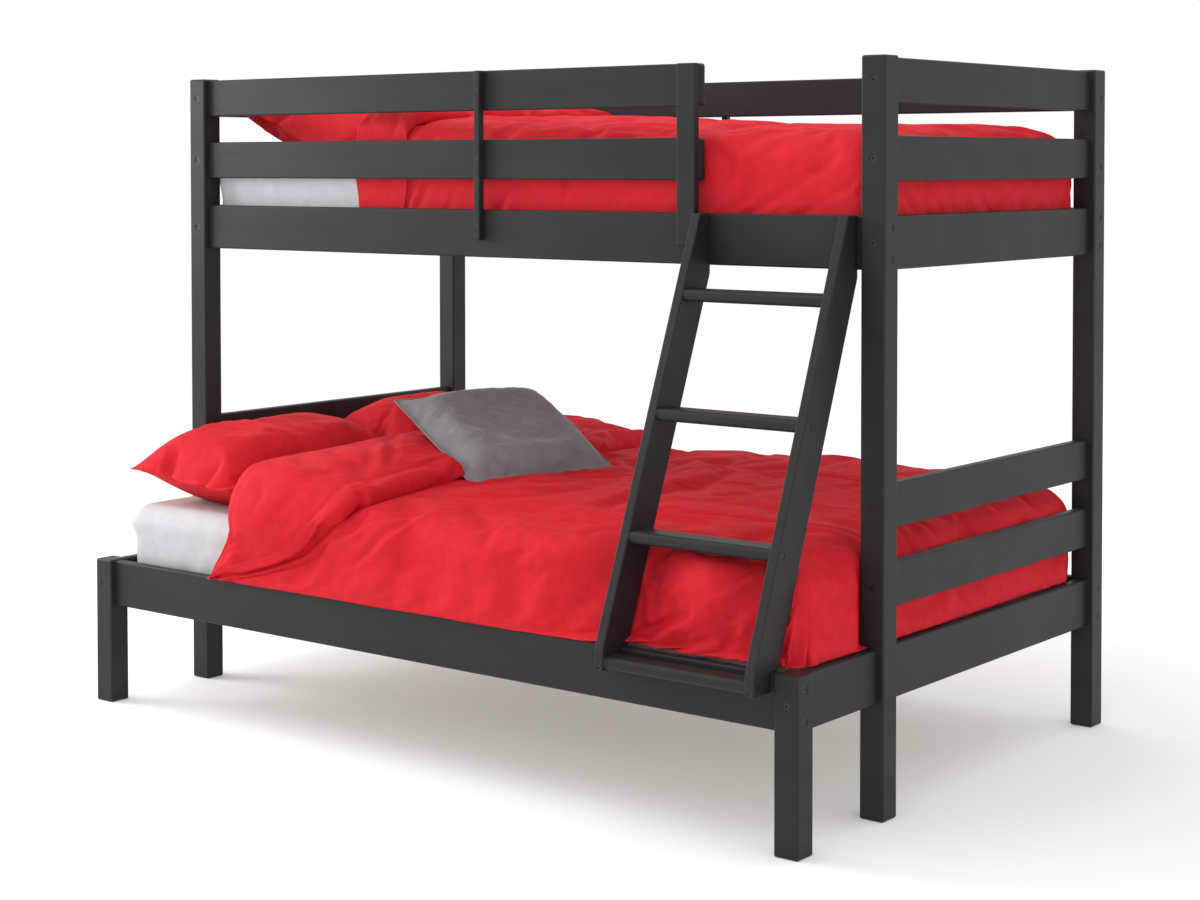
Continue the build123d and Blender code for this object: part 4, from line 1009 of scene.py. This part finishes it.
lift += on_band * 0.010 * smoothstep(inside / 0.1) * thinner
lift += ripples(a, b, 5, 0.34, 2 * mm) + ripples(a, b, 9, 0.14, 0.5 * mm)
add_wrinkles(lift, a, b, (
    ((-0.44, -0.36), (-0.35, -0.33), 8, -6), ((-0.43, -0.41), (-0.36, -0.40), 8, -5),
    ((-0.27, -0.40), (-0.20, -0.31), 9, -8), ((-0.19, -0.42), (-0.14, -0.36), 8, -7),
    ((-0.12, -0.40), (-0.02, -0.28), 10, -7), ((-0.05, -0.43), (0.05, -0.33), 10, -6),
    ((-0.27, -0.05), (0.10, -0.12), 14, -8), ((0.0, 0.1), (0.4, 0.06), 12, -5),
    ((0.62, -0.42), (0.85, -0.30), 12, -5), ((0.72, -0.43), (0.90, -0.34), 10, -5),
    ((0.99, -0.22), (1.09, -0.10), 10, -6), ((1.02, 0.10), (1.09, 0.22), 9, -5)))
# Small uneven gathers along the hem at the foot, where it is tucked in behind the rail
lift += 4 * mm * smoothstep((a - 1.02) / 0.06) * np.sin(b * 75 + 3 * np.sin(b * 13))
outer = upper_wrap.lifted(a, b, upper_height, upper_flare(a, depth_front), lift)
outer[..., 1] = np.clip(outer[..., 1], -0.2822, 0.632)
inner = under_face(inner_wrap, len(a), b_line, a_head, bunk_top - 3 * mm, upper_flare, depth_front)
roll = hem_roll(outer, np.interp(depth_side, (0, 0.3, 0.6, 1), (roll_depth, 0.015, 0.009, 0.007)))
upper_inside = np.where(on_band > 0, inside, -1)


def upper_dents(grid, clear):
    """The rails stand straight up round the bunk, and the duvet stays behind them when it is lifted."""
    points = dent_for_posts(grid.reshape(-1, 3))
    points[..., 0] = np.minimum(points[..., 0], 0.9635)
    points[..., 1] = np.clip(points[..., 1], -0.2808, 0.6315)
    return points


bunk_duvet = finish_duvet("bunk_duvet", "bunk_duvet_body", outer, inner, roll, upper_dents)

# %% [markdown]
# ## Stitches and the cushion's cord
# Sewing repeats along a path, so Geometry Nodes make it. One tree lays a round cord along a path,
# and the other sets stitches along it at an even pitch, each turned to the path and a little uneven.
# The hem's line on each turned-down duvet is what tells the eye that the band is the cover's open end.

# %% Trees for a cord and for stitches
def new_tree(name, *sizes):
    tree = bpy.data.node_groups.new(name, "GeometryNodeTree")
    tree.interface.new_socket("Path", in_out="INPUT", socket_type="NodeSocketGeometry")
    for size in sizes:
        tree.interface.new_socket(size, in_out="INPUT", socket_type="NodeSocketFloat")
    tree.interface.new_socket("Seed", in_out="INPUT", socket_type="NodeSocketInt")
    tree.interface.new_socket("Material", in_out="INPUT", socket_type="NodeSocketMaterial")
    tree.interface.new_socket("Sewing", in_out="OUTPUT", socket_type="NodeSocketGeometry")
    given = tree.nodes.new("NodeGroupInput").outputs
    curve = add_node(tree, "GeometryNodeMeshToCurve", {"Mesh": given["Path"]}).outputs["Curve"]
    return tree, given, curve


def end_tree(tree, given, shape):
    real = add_node(tree, "GeometryNodeRealizeInstances", {"Geometry": shape}).outputs[0]
    smooth_shape = add_node(tree, "GeometryNodeSetShadeSmooth", {"Geometry": real}).outputs[0]
    dyed = add_node(tree, "GeometryNodeSetMaterial", {"Geometry": smooth_shape,
                                                      "Material": given["Material"]})
    add_node(tree, "NodeGroupOutput", {"Sewing": dyed.outputs[0]})


cord_tree, given, curve = new_tree("cord along a path", "Radius")
ring = add_node(cord_tree, "GeometryNodeCurvePrimitiveCircle", {"Resolution": 8, "Radius": given["Radius"]})
tube = add_node(cord_tree, "GeometryNodeCurveToMesh", {"Curve": curve, "Profile Curve": ring.outputs[0],
                                                       "Fill Caps": True})
end_tree(cord_tree, given, tube.outputs[0])

stitch_tree, given, curve = new_tree("stitches along a path", "Pitch", "Length", "Thickness")
places = add_node(stitch_tree, "GeometryNodeCurveToPoints", {"Curve": curve, "Length": given["Pitch"]},
                  mode="LENGTH")
turned = add_node(stitch_tree, "FunctionNodeAlignRotationToVector", {"Vector": places.outputs["Tangent"]},
                  axis="X")
size = add_node(stitch_tree, "ShaderNodeCombineXYZ", {0: given["Length"], 1: given["Thickness"],
                                                      2: given["Thickness"]})
bead = add_node(stitch_tree, "GeometryNodeMeshIcoSphere", {"Radius": 0.5, "Subdivisions": 2})
stitch = add_node(stitch_tree, "GeometryNodeTransform", {"Geometry": bead.outputs[0],
                                                         "Scale": size.outputs[0]})
uneven = add_node(stitch_tree, "FunctionNodeRandomValue", {2: 0.85, 3: 1.1, "Seed": given["Seed"]})
sewn = add_node(stitch_tree, "GeometryNodeInstanceOnPoints",
                {"Points": places.outputs[0], "Instance": stitch.outputs[0], "Rotation": turned.outputs[0],
                 "Scale": uneven.outputs[1]})
end_tree(stitch_tree, given, sewn.outputs[0])


def sew(name, tree, path, closed, values, body):
    edges = [(i, i + 1) for i in range(len(path) - 1)] + ([(len(path) - 1, 0)] if closed else [])
    mesh = bpy.data.meshes.new(name + "_path")
    mesh.from_pydata([tuple(p) for p in path], edges, [])
    piece = bpy.data.objects.new(name, mesh)
    scene.collection.objects.link(piece)
    sewing = piece.modifiers.new("sewing", "NODES")
    sewing.node_group = tree
    for item in tree.interface.items_tree:
        if item.in_out == "INPUT" and item.name in values:
            sewing[item.identifier] = values[item.name]
    finished = bpy.data.meshes.new_from_object(piece.evaluated_get(bpy.context.evaluated_depsgraph_get()))
    piece.modifiers.clear()
    piece.data = finished
    bpy.data.meshes.remove(mesh)
    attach(piece, body)
    print(name, len(finished.polygons), "faces")


# %% Sew
def line_on_band(piece, inside, distance):
    rows, columns = inside.shape
    face = points_of(piece)[:rows * columns].reshape(rows, columns, 3)
    line = []
    for j in range(columns):
        order = np.argsort(inside[:, j])
        line.append([np.interp(distance, inside[order, j], face[order, j, k]) for k in range(3)])
    return line


red_thread, thread_tree, thread_shader = new_material("red sewing thread, polyester", 0.45, sheen=0.1)
slow = add_node(thread_tree, "ShaderNodeTexNoise", {"Scale": 1 / (8 * mm)}).outputs[0]
thread_tree.links.new(colour_steps(thread_tree, slow, (0.35, "#c01c26"), (0.65, "#e03038")),
                      thread_shader.inputs["Base Color"])
thread = {"Pitch": 6 * mm, "Length": 4.2 * mm, "Thickness": 1.1 * mm, "Seed": 4, "Material": red_thread}
sew("bed_duvet_stitches", stitch_tree, line_on_band(bed_duvet, lower_inside, stitch_line), False, thread,
    "frame")
sew("bunk_duvet_stitches", stitch_tree, line_on_band(bunk_duvet, upper_inside, stitch_line), False, thread,
    "bunk_duvet_body")
side = int(round(cushion_cut / cushion_cell)) + 1
seam = points_of(scatter_cushion)[[i * side + j for i, j in border_loop(side, side)]]
sew("cushion_cord", cord_tree, seam, True, {"Radius": 2.2 * mm, "Seed": 1, "Material": grey_velvet},
    "cushion_body")
